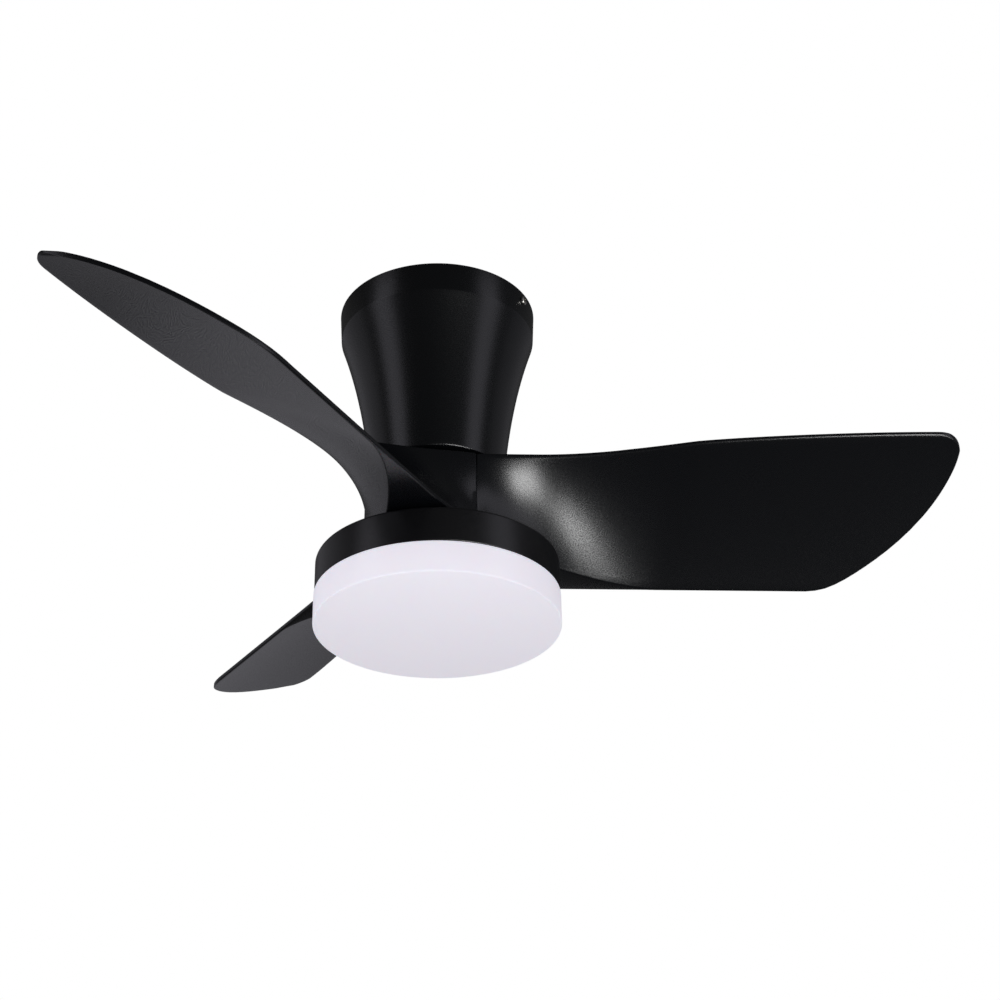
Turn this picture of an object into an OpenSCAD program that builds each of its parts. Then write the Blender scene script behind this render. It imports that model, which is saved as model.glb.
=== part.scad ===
// Three-blade low-profile ceiling fan with a round LED light.
// Origin: centre of the ceiling face, on the fan axis. +Z is up, so the fan hangs below zero. Millimetres.

/* [Canopy] */
// Height of the canopy, ceiling to its lower edge
canopy_h = 173.3; // [150:1:230]
// Outer diameter of the canopy at the ceiling
canopy_top_d = 182; // [180:1:230]
// Outer diameter of the canopy at its lower edge
canopy_bottom_d = 120.6; // [90:1:150]
// Height of the straight band at the ceiling
canopy_band_h = 27.5; // [18:0.5:40]
// Draft of the band, taken off its radius at the crease
canopy_draft = 1.3; // [0:0.1:3]
// Wall of the canopy
canopy_wall = 2.2; // [1.5:0.1:3.5]
// Opening for the hanger tube in the canopy floor
canopy_hole_d = 52; // [40:1:70]
// Distance of the side screws below the ceiling
side_screw_drop = 9; // [7:0.5:14]

/* [Ceiling bracket] */
// Direction of the bracket's long bar and of the canopy's side screws
bracket_az = 0; // [-180:1:180]
// Sheet thickness of the bracket
plate_t = 2.5; // [2:0.1:3.5]
// Width of the long bar
bar_w = 40; // [36:1:50]
// Width of the cross arm that carries the receiver
arm_w = 60; // [50:1:70]
// Distance between the two ceiling slots
slot_spacing = 110; // [100:1:130]
// Length of a ceiling slot, end to end
slot_len = 20; // [14:1:26]
// Width of a ceiling slot
slot_w = 6; // [5:0.5:8]
// Cable entry hole
cable_hole_d = 14; // [10:1:16]

/* [Hanger and shaft] */
// Outer diameter of the hanger tube
tube_d = 22; // [21.5:0.5:30]
// Lower end of the hanger tube, below the ceiling
tube_end = 150; // [130:1:165]
// Diameter of the fixed motor shaft
shaft_d = 17; // [14:0.5:20]
// Wire passage through the shaft
shaft_bore_d = 10; // [9:0.5:11]
// Length of shaft inside the hanger tube
shaft_overlap = 30; // [20:1:45]
// Cross pin of the hanger
pin_d = 6; // [5:0.5:8]

/* [Hub] */
// Gap between the canopy and the turning hub
hub_gap = 4.9; // [3:0.1:10]
// Height of the hub and of the blade roots
hub_h = 78.3; // [74:0.5:110]
// Diameter across the seams between the blade roots
hub_d = 128.4; // [126:1:160]
// Outer diameter of the motor shells
motor_d = 117; // [112:1:120]
// Play between the blade roots and the motor shells
root_play = 1; // [0.5:0.1:2]
// Wall of the motor shells
shell_wall = 4; // [3:0.5:5]

/* [Motor] */
// Height of the closed motor, shell to shell
motor_h = 58.5; // [56:0.5:64]
// Stator lamination stack
stack_h = 22; // [16:1:24]
// Air gap between stator and magnets
air_gap = 0.8; // [0.5:0.1:1.5]
// Radial thickness of a magnet
magnet_t = 3.5; // [2.5:0.5:4]
// Radial thickness of the steel yoke ring
yoke_t = 4; // [3:0.5:5]
// Number of stator teeth
teeth = 12; // [9:3:12]
// Number of magnets
poles = 14; // [10:2:16]

/* [Bearings] */
// Width of a bearing
bearing_w = 10; // [8:0.5:11]
// Radial height of a bearing, bore to outside
bearing_section = 9; // [8:0.5:10]
// Ball diameter
ball_d = 4.76; // [4:0.01:5]
// Balls in a bearing
balls = 10; // [7:1:11]
// Play between ball and race
ball_play = 0.05; // [0.02:0.01:0.08]

/* [Blades] */
// Direction of the first blade at rest
blade_az = 30.7; // [0:0.1:120]
// Diameter of the circle swept by the tips
sweep_d = 914; // [800:1:1200]
// Widest reach of the leading edge, across the blade axis
lead_reach = 99.4; // [85:1:115]
// Reach of the trailing edge, across the blade axis
trail_reach = 53.5; // [48:0.5:56]
// Height of the thin edge of a blade
edge_h = 3.6; // [3:0.1:5]
// Upward camber of the blade plate
camber = 4.9; // [0:0.1:8]
// Wall of the hollow blade root
root_wall = 3.2; // [2.5:0.1:4]
// Joint between neighbouring blade roots
seam_gap = 0.4; // [0.2:0.1:1]
// Radius of the rounded tip corner
tip_round = 21; // [12:1:30]

/* [Light] */
// Gap between the hub and the light pan
light_gap = 4.4; // [4:0.1:10]
// Outer diameter of the light pan
pan_d = 214; // [200:1:300]
// Height of the light pan
pan_h = 31.9; // [28:0.5:45]
// Wall of the light pan
pan_wall = 2; // [1.5:0.1:3]
// Rounding of the pan's upper edge
pan_round = 2; // [0.5:0.1:4]
// Gap between the LED board and the diffuser's neck
board_gap = 9.6; // [4:0.1:24]
// LED board thickness
board_t = 1.6; // [1:0.1:2]

/* [Diffuser] */
// Depth of the diffuser below the pan
diffuser_h = 31.6; // [20:0.1:50]
// Diffuser radius beyond the pan's
diffuser_proud = 0.6; // [0:0.1:2]
// Wall of the diffuser
diffuser_wall = 2.4; // [1.5:0.1:4]
// Rounding between the diffuser's wall and its bottom
diffuser_round = 1.5; // [0.5:0.5:9]
// Rise of the diffuser's slightly domed bottom
dome_h = 3; // [1:0.5:4]
// Arc of a bayonet lug
lug_arc = 14; // [8:1:16]

/* [Hidden] */
$fn = 96;
eps = 0.01;
fit_gap = 0.05;       // play round a pin, a screw or a shaft that passes through
run_gap = 0.3;        // play between pieces that turn past each other
round_steps = 8;      // steps of a rounded corner in a turned outline
curve_steps = 14;     // steps of a long curve in a turned outline

// heights, ceiling downwards
hub_top_z = -canopy_h - hub_gap;
hub_bottom_z = hub_top_z - hub_h;
motor_bottom_z = hub_bottom_z + root_wall;
motor_top_z = motor_bottom_z + motor_h;
pan_top_z = hub_bottom_z - light_gap;
pan_bottom_z = pan_top_z - pan_h;
pan_floor_z = pan_top_z - pan_top_t();
lower_race_z = motor_bottom_z + shell_wall;
upper_race_z = motor_top_z - shell_wall - bearing_w;
function pan_top_t() = pan_wall + 0.5;

// radii
hub_r = hub_d / 2;
motor_r = motor_d / 2;
shaft_r = shaft_d / 2;
tube_r = tube_d / 2;
tube_bore_r = shaft_r + fit_gap;
sleeve_r = tube_r + 3.5;
bearing_r = shaft_r + bearing_section;
pitch_r = shaft_r + bearing_section / 2;
ball_r = ball_d / 2;
skirt_r = motor_r - shell_wall - 0.5;
yoke_r = skirt_r - yoke_t;
magnet_r = yoke_r - magnet_t;
stator_r = magnet_r - air_gap;
pan_r = pan_d / 2;
pan_bore_r = pan_r - pan_wall;
diffuser_r = pan_r + diffuser_proud;

// stator
stack_mid_z = (motor_bottom_z + motor_top_z) / 2 - 0.9;
liner_t = 1;
coil_over = 5.5;
tooth_w = 7.5;
core_hub_r = shaft_r + 14;
shoe_t = 2.6;
coil_wall = 3.2;
yoke_low_z = stack_mid_z - stack_h / 2 - 4;
yoke_h = stack_h + 8;
boss_h = yoke_low_z - motor_bottom_z - 1;

// light fixing
plate_r = 42;
nut_af = shaft_d + 7;
shaft_end_z = pan_floor_z - plate_t - 11;
driver_near = plate_r + 2;

// fixings
clip_r = 0.9;
m3_r = 1.5;
m4_r = 2;
side_head_r = 4;
m5_r = 2.5;
blade_screw_r = (motor_r - shell_wall * 2 + 1.5 + magnet_r) / 2;
blade_screw_az = [-36, 1.6, 39];
shell_screw_r = (skirt_r + motor_r) / 2;
flange_in_r = blade_screw_r - 9;
neck_r = pan_bore_r - 3;
board_r = neck_r - diffuser_wall - board_gap;
standoff_r = board_r - 10;
shell_head_r = 2.6;
shell_head_h = 2;
pin_z = -30;
exit_z = upper_race_z - 2.1;

// bracket
ear_t = plate_t;
bar_half = canopy_top_d / 2 - canopy_wall - 4.8;
ear_half = 11;
arm_in = 14 + tube_r;
receiver_len = 70;
receiver_w = 38;
receiver_h = 22;
box_wall = 2;
lead_r = 1.6;
lead_side = 2.2;
window_z = -74;

// blade frame: x outwards along the blade, y towards the trailing edge
own_seam = -58.4;
next_seam = own_seam + 120;
seam_x = hub_r * cos(own_seam);
root_lead = -hub_r * sin(own_seam);
root_trail = hub_r * sin(next_seam);
tip_r = sweep_d / 2;
tip_lead_y = lead_reach - tip_round;
tip_x = sqrt(tip_r * tip_r - tip_lead_y * tip_lead_y);
chamfer = 0.9;
edge_flat = 2.4;
wall_lean = 0.7;
edge_samples = 24;
inner_x = 20;
thin_x = 0.46 * tip_x;
top_thin_x = 0.395 * tip_x;
bend_x = 0.19 * tip_x;
mid_x = 0.495 * tip_x;
mid_lead = 0.803 * lead_reach;
rake_x = 0.775 * tip_x;
cavity_x = 0.262 * tip_x;
chord_points = 7;

function bezier(p, t) = pow(1 - t, 3) * p[0] + 3 * pow(1 - t, 2) * t * p[1]
    + 3 * (1 - t) * t * t * p[2] + pow(t, 3) * p[3];
function curve(p, n) = [for (i = [0 : n]) bezier(p, i / n)];
function corner(c, r, from, to, n) = [for (i = [0 : n]) c + r * [cos(from + (to - from) * i / n),
    sin(from + (to - from) * i / n)]];
function mix(a, b, t) = a + (b - a) * t;

// leading edge, along the whole blade
lead_line = concat(
    [[inner_x, -root_lead]],
    curve([[bend_x, -root_lead], [mix(bend_x, mid_x, 0.33), -root_lead],
        [mix(bend_x, mid_x, 0.65), -mix(root_lead, mid_lead, 0.45)], [mid_x, -mid_lead]], edge_samples),
    curve([[mid_x, -mid_lead], [mix(mid_x, tip_x, 0.23), -mix(mid_lead, lead_reach, 0.52)],
        [mix(mid_x, tip_x, 0.65), -lead_reach + 0.8], [tip_x - tip_round, -lead_reach]], edge_samples));
// where the underside meets the bottom plane, and where the upper side meets the top plane
under_line = curve([[seam_x, -root_lead + 1.4], [seam_x + 27, -root_lead + 36],
    [mix(seam_x, thin_x, 0.65), trail_reach - 1.7], [thin_x, trail_reach - 1.7]], edge_samples);
upper_line = curve([[seam_x - 1, root_trail], [seam_x + 42, root_trail - 55],
    [mix(seam_x, top_thin_x, 0.6), -root_lead + 2.5], [top_thin_x, -root_lead - 12]], edge_samples);
// raked end, from the trailing edge to the tip
rake_line = curve([[rake_x, trail_reach], [mix(rake_x, tip_x, 0.42), trail_reach - 23],
    [mix(rake_x, tip_x, 0.93), -10], [tip_x, -tip_lead_y]], edge_samples);

function lead_y(x) = x > tip_x - tip_round ? -lead_reach : lookup(x, lead_line);
function under_y(x) = lookup(x, under_line);
function upper_y(x) = lookup(x, upper_line);
function tip_start(x) = x > tip_x - tip_round
    ? -tip_lead_y - sqrt(max(0, tip_round * tip_round - pow(x - tip_x + tip_round, 2))) : lead_y(x);
function bound(v) = min(1, max(0, v));
function trail_y(x) = mix(root_trail, trail_reach, bound((x - seam_x) / (bend_x - seam_x / 2)));
function rake_end(x) = x < rake_x ? trail_y(x) : lookup(x, rake_line);
function sag(x) = camber * bound((x - seam_x) / (thin_x - seam_x));
function upper_from(x) = x > top_thin_x ? lead_y(x) + edge_flat
    : max(min(upper_y(x), trail_y(x) - wall_lean), lead_y(x) + edge_flat);
function under_from(x) = min(under_y(x), trail_reach - edge_flat);
function upper_z(x, y) = let (a = upper_from(x), v = bound((y - a) / (trail_y(x) - a)))
    mix(hub_top_z, hub_bottom_z + edge_h, v) + sag(x) * 4 * v * (1 - v);
function under_z(x, y) = let (c = under_from(x), v = bound((c - y) / (c - lead_y(x))))
    mix(hub_bottom_z, hub_top_z - edge_h, v) + sag(x) * 4 * v * (1 - v);

// one cross-section of a blade at a distance x from the axis
function section(x) = let (
    lead = tip_start(x),
    trail = rake_end(x),
    upper = max(upper_from(x), lead + edge_flat),
    under = min(under_from(x), trail - edge_flat),
    last = chord_points - 1)
    concat(
        [[x, lead, upper_z(x, lead) - chamfer], [x, lead + chamfer, upper_z(x, lead + chamfer)]],
        [for (i = [0 : last]) let (y = mix(upper, trail, i / last)) [x, y, upper_z(x, y)]],
        [[x, trail, under_z(x, trail) + chamfer], [x, trail - chamfer, under_z(x, trail - chamfer)]],
        [for (i = [0 : last]) let (y = mix(under, lead, i / last)) [x, y, under_z(x, y)]]);
// the hollow of the root, a wall inside the same section
function hollow(x) = let (
    top = upper_from(x),
    low = under_from(x),
    rise = hub_h - edge_h,
    lead_wall = root_wall * norm([low - lead_y(x), rise]) / rise,
    trail = trail_y(x),
    trail_wall = root_wall * norm([trail - top, rise]) / rise)
    [[x, lead_y(x) + lead_wall + 1, hub_top_z - root_wall],
        [x, top - trail_wall - 1, hub_top_z - root_wall],
        [x, trail - trail_wall - 1, hub_bottom_z + root_wall],
        [x, low + lead_wall + 1, hub_bottom_z + root_wall]];

// closed loft through rings with the same number of points, each end closed by a fan round its middle
function middle(points) = [for (p = points) 1] * points / len(points);
module loft(rings) {
    n = len(rings[0]);
    last = (len(rings) - 1) * n;
    points = concat([for (ring = rings) each ring], [middle(rings[0]), middle(rings[len(rings) - 1])]);
    near = [for (i = [0 : n - 1]) [len(points) - 2, i, (i + 1) % n]];
    far = [for (i = [0 : n - 1]) [len(points) - 1, last + (i + 1) % n, last + i]];
    walls = [for (k = [0 : n : last - n], i = [0 : n - 1]) let (j = (i + 1) % n)
        each [[k + i, k + n + i, k + n + j], [k + i, k + n + j, k + j]]];
    polyhedron(points, concat(near, far, walls), convexity = 8);
}

module sector(r1, r2, from, to, h) {
    rotate([0, 0, from])
        rotate_extrude(angle = to - from)
            translate([r1, 0])
                square([r2 - r1, h]);
}

module ring(r1, r2, h) {
    difference() {
        cylinder(r = r2, h = h);
        translate([0, 0, -eps])
            cylinder(r = r1, h = h + 2 * eps);
    }
}

module around(n, r, from = 0) {
    for (i = [0 : n - 1])
        rotate([0, 0, from + i * 360 / n])
            translate([r, 0, 0])
                children();
}

// pan-head machine screw, head down at z = 0, shank up
module screw(r, length, head_r, head_h) {
    cylinder(r = r, h = length);
    translate([0, 0, -head_h])
        difference() {
            cylinder(r1 = head_r * 0.82, r2 = head_r, h = head_h);
            translate([-head_r / 2, -r / 4, -eps])
                cube([head_r, r / 2, head_h * 0.4]);
            translate([-r / 4, -head_r / 2, -eps])
                cube([r / 2, head_r, head_h * 0.4]);
        }
}

// wire swept along a route that lies in the plane of the given sideways offset
lead_sides = 8;
function lead_ring(route, i, side) = let (
    before = route[max(i - 1, 0)],
    after = route[min(i + 1, len(route) - 1)],
    along = (after - before) / norm(after - before))
    [for (k = [0 : lead_sides - 1]) let (across = lead_r * cos(360 * k / lead_sides),
        out = lead_r * sin(360 * k / lead_sides))
        [side + across, route[i][0] - out * along[1], route[i][1] + out * along[0]]];
module lead(route, side) {
    rotate([0, 0, bracket_az])
        loft([for (i = [0 : len(route) - 1]) lead_ring(route, i, side)]);
}

// ---- ceiling side ----

module bracket_outline() {
    difference() {
        union() {
            square([2 * bar_half, bar_w], center = true);
            translate([-arm_w / 2, -arm_in - 30])
                square([arm_w, 2 * arm_in + receiver_w + 30]);
        }
        for (side = [-1, 1])
            translate([side * slot_spacing / 2, 0])
                ceiling_slot();
        translate([tube_r + 11 + cable_hole_d / 2, 0])
            circle(d = cable_hole_d);
    }
}

module ceiling_slot() {
    for (side = [-1, 1])
        translate([side * (slot_len - slot_w) / 2, 0])
            circle(d = slot_w);
    square([slot_len - slot_w, slot_w], center = true);
}

module ceiling_bracket() {
    color("lightsteelblue")
    rotate([0, 0, bracket_az])
        difference() {
            union() {
                translate([0, 0, -plate_t])
                    linear_extrude(plate_t)
                        bracket_outline();
                for (side = [-1, 1])
                    translate([side * (bar_half + ear_t / 2) - ear_t / 2, -ear_half, -2 * side_screw_drop])
                        cube([ear_t, 2 * ear_half, 2 * side_screw_drop]);
                translate([0, 0, pin_z - 12])
                    ring(tube_r + fit_gap, sleeve_r, -pin_z + 12 - plate_t + eps);
            }
            translate([0, 0, -side_screw_drop])
                rotate([0, 90, 0])
                    cylinder(r = m4_r + fit_gap, h = 2 * canopy_top_d, center = true);
            translate([0, 0, pin_z])
                rotate([90, 0, 0])
                    cylinder(d = pin_d + 2 * fit_gap, h = 4 * sleeve_r, center = true);
            translate([-arm_w / 2 + 8, -arm_in - 22, -plate_t - eps])
                cylinder(r = m4_r + fit_gap, h = plate_t + 2 * eps);
            receiver_fixings(m3_r + fit_gap, -plate_t - eps, plate_t + 2 * eps);
            block_fixing(m3_r + fit_gap, -plate_t - eps, plate_t + 2 * eps);
        }
}

module receiver_fixings(r, z, h) {
    for (side = [-1, 1])
        translate([side * (arm_w / 2 - 6), arm_in + receiver_w / 2, z])
            cylinder(r = r, h = h);
}

module block_fixing(r, z, h) {
    translate([4, -arm_in - 15, z])
        cylinder(r = r, h = h);
}

// outer line of the canopy's side, lower edge to ceiling
canopy_r = canopy_top_d / 2;
canopy_low_r = canopy_bottom_d / 2;
function canopy_side(inset) = let (
    crease = canopy_r - canopy_draft - inset,
    low = canopy_low_r - inset,
    spread = crease - low,
    side_h = canopy_h - canopy_band_h)
    concat(
        curve([[low, -canopy_h], [low + 0.17 * spread, -canopy_h + side_h / 3],
            [crease - 0.56 * spread, -canopy_band_h - side_h / 3], [crease, -canopy_band_h]], curve_steps),
        [[canopy_r - inset, 0]]);

module canopy() {
    outer = canopy_side(0);
    inner = canopy_side(canopy_wall);
    color([0.08, 0.08, 0.09])
    difference() {
        rotate_extrude()
            polygon(concat([[canopy_hole_d / 2, -canopy_h]], outer,
                [for (i = [len(inner) - 1 : -1 : 1]) inner[i]],
                [[canopy_low_r - canopy_wall, -canopy_h + canopy_wall],
                    [canopy_hole_d / 2, -canopy_h + canopy_wall]]));
        rotate([0, 0, bracket_az])
            translate([0, 0, -side_screw_drop])
                rotate([0, 90, 0])
                    cylinder(r = m4_r + 2 * fit_gap, h = 2 * canopy_top_d, center = true);
    }
}

module canopy_screws() {
    head_x = canopy_r - canopy_draft * (side_screw_drop - side_head_r) / canopy_band_h + fit_gap;
    color("silver")
    for (turn = [0, 180])
        rotate([0, 0, bracket_az + turn])
            translate([head_x, 0, -side_screw_drop])
                rotate([0, -90, 0])
                    screw(m4_r, 12, side_head_r, 2.4);
}

module hanger_tube() {
    color("dimgray")
    rotate([0, 0, bracket_az])
        difference() {
            translate([0, 0, -tube_end])
                ring(tube_bore_r, tube_r, tube_end - plate_t);
            translate([0, 0, pin_z])
                rotate([90, 0, 0])
                    cylinder(d = pin_d + 2 * fit_gap, h = 4 * tube_r, center = true);
            translate([-5.5, 0, window_z - 14])
                cube([11, 2 * tube_r, 36]);
            translate([0, 0, -tube_end + shaft_overlap / 3])
                rotate([0, 90, 0])
                    cylinder(r = m5_r + fit_gap, h = 4 * tube_r, center = true);
        }
}

module tube_set_screws() {
    color("darkgray")
    for (turn = [0, 180])
        rotate([0, 0, bracket_az + turn])
            translate([shaft_r - 1, 0, -tube_end + shaft_overlap / 3])
                rotate([0, 90, 0])
                    difference() {
                        cylinder(r = m5_r, h = 6);
                        translate([0, 0, 4])
                            cylinder(r = 1.4, h = 3, $fn = 6);
                    }
}

module hanger_pin() {
    length = 2 * sleeve_r + 9;
    color("silver")
    rotate([0, 0, bracket_az])
        translate([0, 0, pin_z])
            rotate([90, 0, 0])
                difference() {
                    union() {
                        translate([0, 0, -sleeve_r - 1])
                            cylinder(d = pin_d, h = length);
                        translate([0, 0, -sleeve_r - 3])
                            cylinder(r = pin_d / 2 + 2, h = 2.5);
                    }
                    translate([0, 0, sleeve_r + 3.5])
                        rotate([0, 90, 0])
                            cylinder(r = clip_r + fit_gap, h = 2 * pin_d, center = true);
                }
}

// hairpin clip: one leg through the pin, the other over it
module pin_clip() {
    leg_gap = pin_d / 2 + clip_r + fit_gap;
    color("silver")
    rotate([0, 0, bracket_az])
        translate([0, -sleeve_r - 3.5, pin_z]) {
            translate([-pin_d, 0, 0])
                rotate([0, 90, 0])
                    cylinder(r = clip_r, h = 2 * pin_d + 4);
            translate([-pin_d / 2, 0, -leg_gap])
                rotate([0, 90, 0])
                    cylinder(r = clip_r, h = 1.5 * pin_d + 4);
            translate([pin_d + 4, 0, -leg_gap / 2])
                rotate([90, 0, 0])
                    rotate([0, 0, -90])
                        rotate_extrude(angle = 180)
                            translate([leg_gap / 2, 0])
                                circle(r = clip_r);
        }
}

// ---- receiver and connections ----

module receiver_place() {
    rotate([0, 0, bracket_az])
        translate([-receiver_len / 2, arm_in, -plate_t - receiver_h])
            children();
}

module receiver_base() {
    color([0.85, 0.85, 0.82])
    difference() {
        receiver_place()
            difference() {
                translate([0, 0, box_wall])
                    cube([receiver_len, receiver_w, receiver_h - box_wall]);
                translate([box_wall, box_wall, 0])
                    cube([receiver_len - 2 * box_wall, receiver_w - 2 * box_wall, receiver_h - box_wall]);
            }
        rotate([0, 0, bracket_az])
            receiver_fixings(m3_r + fit_gap, -2 * plate_t - box_wall, 4 * plate_t);
    }
}

lid_inset = box_wall + fit_gap;
lid_rim = 2;
lid_rim_t = 1.2;
module receiver_lid() {
    color([0.8, 0.8, 0.78])
    difference() {
        receiver_place()
            union() {
                cube([receiver_len, receiver_w, box_wall]);
                translate([lid_inset, lid_inset, box_wall])
                    difference() {
                        cube([receiver_len - 2 * lid_inset, receiver_w - 2 * lid_inset, lid_rim]);
                        translate([lid_rim_t, lid_rim_t, -eps])
                            cube([receiver_len - 2 * (lid_inset + lid_rim_t),
                                receiver_w - 2 * (lid_inset + lid_rim_t), lid_rim + 2 * eps]);
                    }
            }
        rotate([0, 0, bracket_az])
            for (exit = [[-lead_side, motor_exit], [lead_side, light_exit]])
                translate([exit[0], exit[1], -plate_t - receiver_h - eps])
                    cylinder(r = lead_r + fit_gap, h = box_wall + 2 * eps);
    }
}

module receiver_board() {
    color("darkgreen")
    receiver_place()
        translate([box_wall + 8, box_wall + 1.5, receiver_h / 2])
            cube([receiver_len - 2 * box_wall - 16, receiver_w - 2 * box_wall - 3, board_t]);
    color("black")
    receiver_place()
        for (part = [[14, 9, 8], [30, 10, 6], [46, 8, 7]])
            translate([part[0], part[1], receiver_h / 2 - part[2] + eps])
                cube([9, 12, part[2]]);
}

module receiver_screws() {
    color("silver")
    rotate([0, 0, bracket_az])
        for (side = [-1, 1])
            translate([side * (arm_w / 2 - 6), arm_in + receiver_w / 2, -plate_t - box_wall])
                screw(m3_r, plate_t + box_wall - 0.5, 2.8, 1.8);
}

module terminal_block() {
    color("ivory")
    rotate([0, 0, bracket_az])
        difference() {
            translate([-16, -arm_in - 22, -plate_t - 14])
                cube([40, 14, 14]);
            block_fixing(m3_r + fit_gap, -plate_t - 15, 16);
            for (pole = [-11, -3, 11, 19])
                translate([pole, -arm_in - 23, -plate_t - 7])
                    rotate([-90, 0, 0])
                        cylinder(r = 2, h = 16);
        }
}

module earth_screw() {
    color("gold")
    rotate([0, 0, bracket_az])
        translate([-arm_w / 2 + 8, -arm_in - 22, -plate_t])
            screw(m4_r, plate_t - 0.5, 3.8, 2.2);
}

// routes of the two internal wires, as [distance across the bracket, height]
motor_exit = arm_in + 9;
light_exit = arm_in + 22;
motor_route = concat(
    [[motor_exit, -plate_t - receiver_h + 4], [motor_exit, -45], [motor_exit - 2, -52],
        [motor_exit - 9, -59],
        [13, -66], [5, -72], [1, -79], [0, -87]],
    [for (z = [-110 : -25 : upper_race_z + 18]) [0, z]],
    [[0, exit_z + 7.5], [0.6, exit_z + 4], [2.6, exit_z + 1.2], [5.6, exit_z], [shaft_r + 3, exit_z],
        [core_hub_r - 1, exit_z]]);
light_route = concat(
    [[light_exit, -plate_t - receiver_h + 4], [light_exit, -48], [light_exit - 2.5, -56],
        [light_exit - 11, -66], [19, -73], [7, -79], [1.5, -87], [0, -96]],
    [for (z = [-120 : -25 : shaft_end_z + 18]) [0, z]],
    [[0, shaft_end_z + 2], [0.6, shaft_end_z - 2], [3.6, shaft_end_z - 5], [9, shaft_end_z - 5.8],
        [driver_near - 8, shaft_end_z - 4], [driver_near - fit_gap, shaft_end_z - 2.2]]);

module motor_lead() {
    color("gray")
    lead(motor_route, -lead_side);
}

module light_lead() {
    color("white")
    lead(light_route, lead_side);
}

// ---- shaft and bearings ----

module motor_shaft() {
    top = -tube_end + shaft_overlap;
    groove_z = upper_race_z + bearing_w;
    color("silver")
    rotate([0, 0, bracket_az])
        difference() {
            translate([0, 0, shaft_end_z])
                cylinder(r = shaft_r, h = top - shaft_end_z);
            translate([0, 0, shaft_end_z - eps])
                cylinder(d = shaft_bore_d, h = top - shaft_end_z + 2 * eps);
            translate([0, 0, groove_z])
                ring(shaft_r - 0.8, shaft_r + 1, 1.2);
            translate([-lead_side, 0, exit_z])
                rotate([-90, 0, 0])
                    cylinder(r = lead_r + 2 * fit_gap, h = 2 * shaft_r);
            translate([0, 0, -tube_end + shaft_overlap / 3])
                for (side = [-1, 1])
                    translate([side * (shaft_r + 1), 0, 0])
                        rotate([0, 90, 0])
                            cylinder(r = m5_r + fit_gap, h = 4, center = true);
        }
}

module shaft_circlip() {
    color("dimgray")
    translate([0, 0, upper_race_z + bearing_w + 0.05])
        difference() {
            ring(shaft_r - 0.7, shaft_r + 2, 1.1);
            translate([0, -1.5, -eps])
                cube([shaft_r + 3, 3, 2]);
        }
}

module shaft_spacers() {
    color("silver") {
        translate([0, 0, lower_race_z + bearing_w])
            ring(shaft_r, shaft_r + 2.5, stack_mid_z - stack_h / 2 - lower_race_z - bearing_w);
        translate([0, 0, pan_top_z])
            ring(shaft_r, shaft_r + 2.5, lower_race_z - pan_top_z);
    }
}

// race with a groove for the balls, between two radii
module race(r1, r2, z) {
    color("silver")
    translate([0, 0, z])
        rotate_extrude()
            difference() {
                translate([r1, 0])
                    square([r2 - r1, bearing_w]);
                translate([pitch_r, bearing_w / 2])
                    circle(r = ball_r + ball_play);
            }
}

module ball_cage(z) {
    color("goldenrod")
    translate([0, 0, z + bearing_w / 2])
        difference() {
            translate([0, 0, -0.32 * bearing_w])
                ring(pitch_r - 0.16 * ball_d, pitch_r + 0.16 * ball_d, 0.64 * bearing_w);
            around(balls, 0)
                rotate([0, 90, 0])
                    cylinder(r = ball_r + ball_play, h = 2 * pitch_r);
        }
}

module ball_set(z) {
    color("white")
    translate([0, 0, z + bearing_w / 2])
        around(balls, pitch_r)
            sphere(r = ball_r);
}

race_land = ball_r * 0.72;
module upper_inner_race() { race(shaft_r, pitch_r - race_land, upper_race_z); }
module lower_inner_race() { race(shaft_r, pitch_r - race_land, lower_race_z); }
module upper_outer_race() { race(pitch_r + race_land, bearing_r, upper_race_z); }
module lower_outer_race() { race(pitch_r + race_land, bearing_r, lower_race_z); }
module upper_cage() { ball_cage(upper_race_z); }
module lower_cage() { ball_cage(lower_race_z); }
module upper_balls() { ball_set(upper_race_z); }
module lower_balls() { ball_set(lower_race_z); }

// ---- stator ----

module core_outline() {
    difference() {
        union() {
            circle(r = core_hub_r);
            intersection() {
                around(teeth, 0)
                    translate([0, -tooth_w / 2])
                        square([stator_r, tooth_w]);
                circle(r = stator_r);
            }
            intersection() {
                difference() {
                    circle(r = stator_r);
                    circle(r = stator_r - shoe_t);
                }
                around(teeth, 0)
                    translate([0, -1.15 * tooth_w])
                        square([stator_r, 2.3 * tooth_w]);
            }
        }
        circle(r = shaft_r);
    }
}

module stator_core() {
    color("slategray")
    translate([0, 0, stack_mid_z - stack_h / 2])
        linear_extrude(stack_h)
            core_outline();
}

module stator_insulators() {
    color("white")
    for (z = [stack_mid_z + stack_h / 2, stack_mid_z - stack_h / 2 - liner_t])
        translate([0, 0, z])
            difference() {
                linear_extrude(liner_t)
                    core_outline();
                translate([0, 0, -eps])
                    cylinder(r = shaft_r + 3, h = liner_t + 2 * eps);
            }
}

module stator_windings() {
    from = core_hub_r + 1.5;
    reach = stator_r - shoe_t - 1 - from;
    slot_side = tooth_w + 0.2;
    hole_h = stack_h + 2 * liner_t + 0.2;
    color("chocolate")
    around(teeth, from)
        translate([0, 0, stack_mid_z])
            difference() {
                translate([reach / 2, 0, 0])
                    cube([reach, slot_side + 2 * coil_thick(from), stack_h + 2 * coil_over], center = true);
                translate([reach / 2, 0, 0])
                    cube([reach + 2, slot_side, hole_h], center = true);
            }
}
// a coil is as thick as the slot allows beside its neighbour
function coil_thick(from) = min(coil_wall, from * tan(180 / teeth) - tooth_w / 2 - 0.3);

// ---- rotor ----

module bearing_boss(z, h) {
    translate([0, 0, z])
        cylinder(r = bearing_r + 3, h = h);
}

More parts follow.
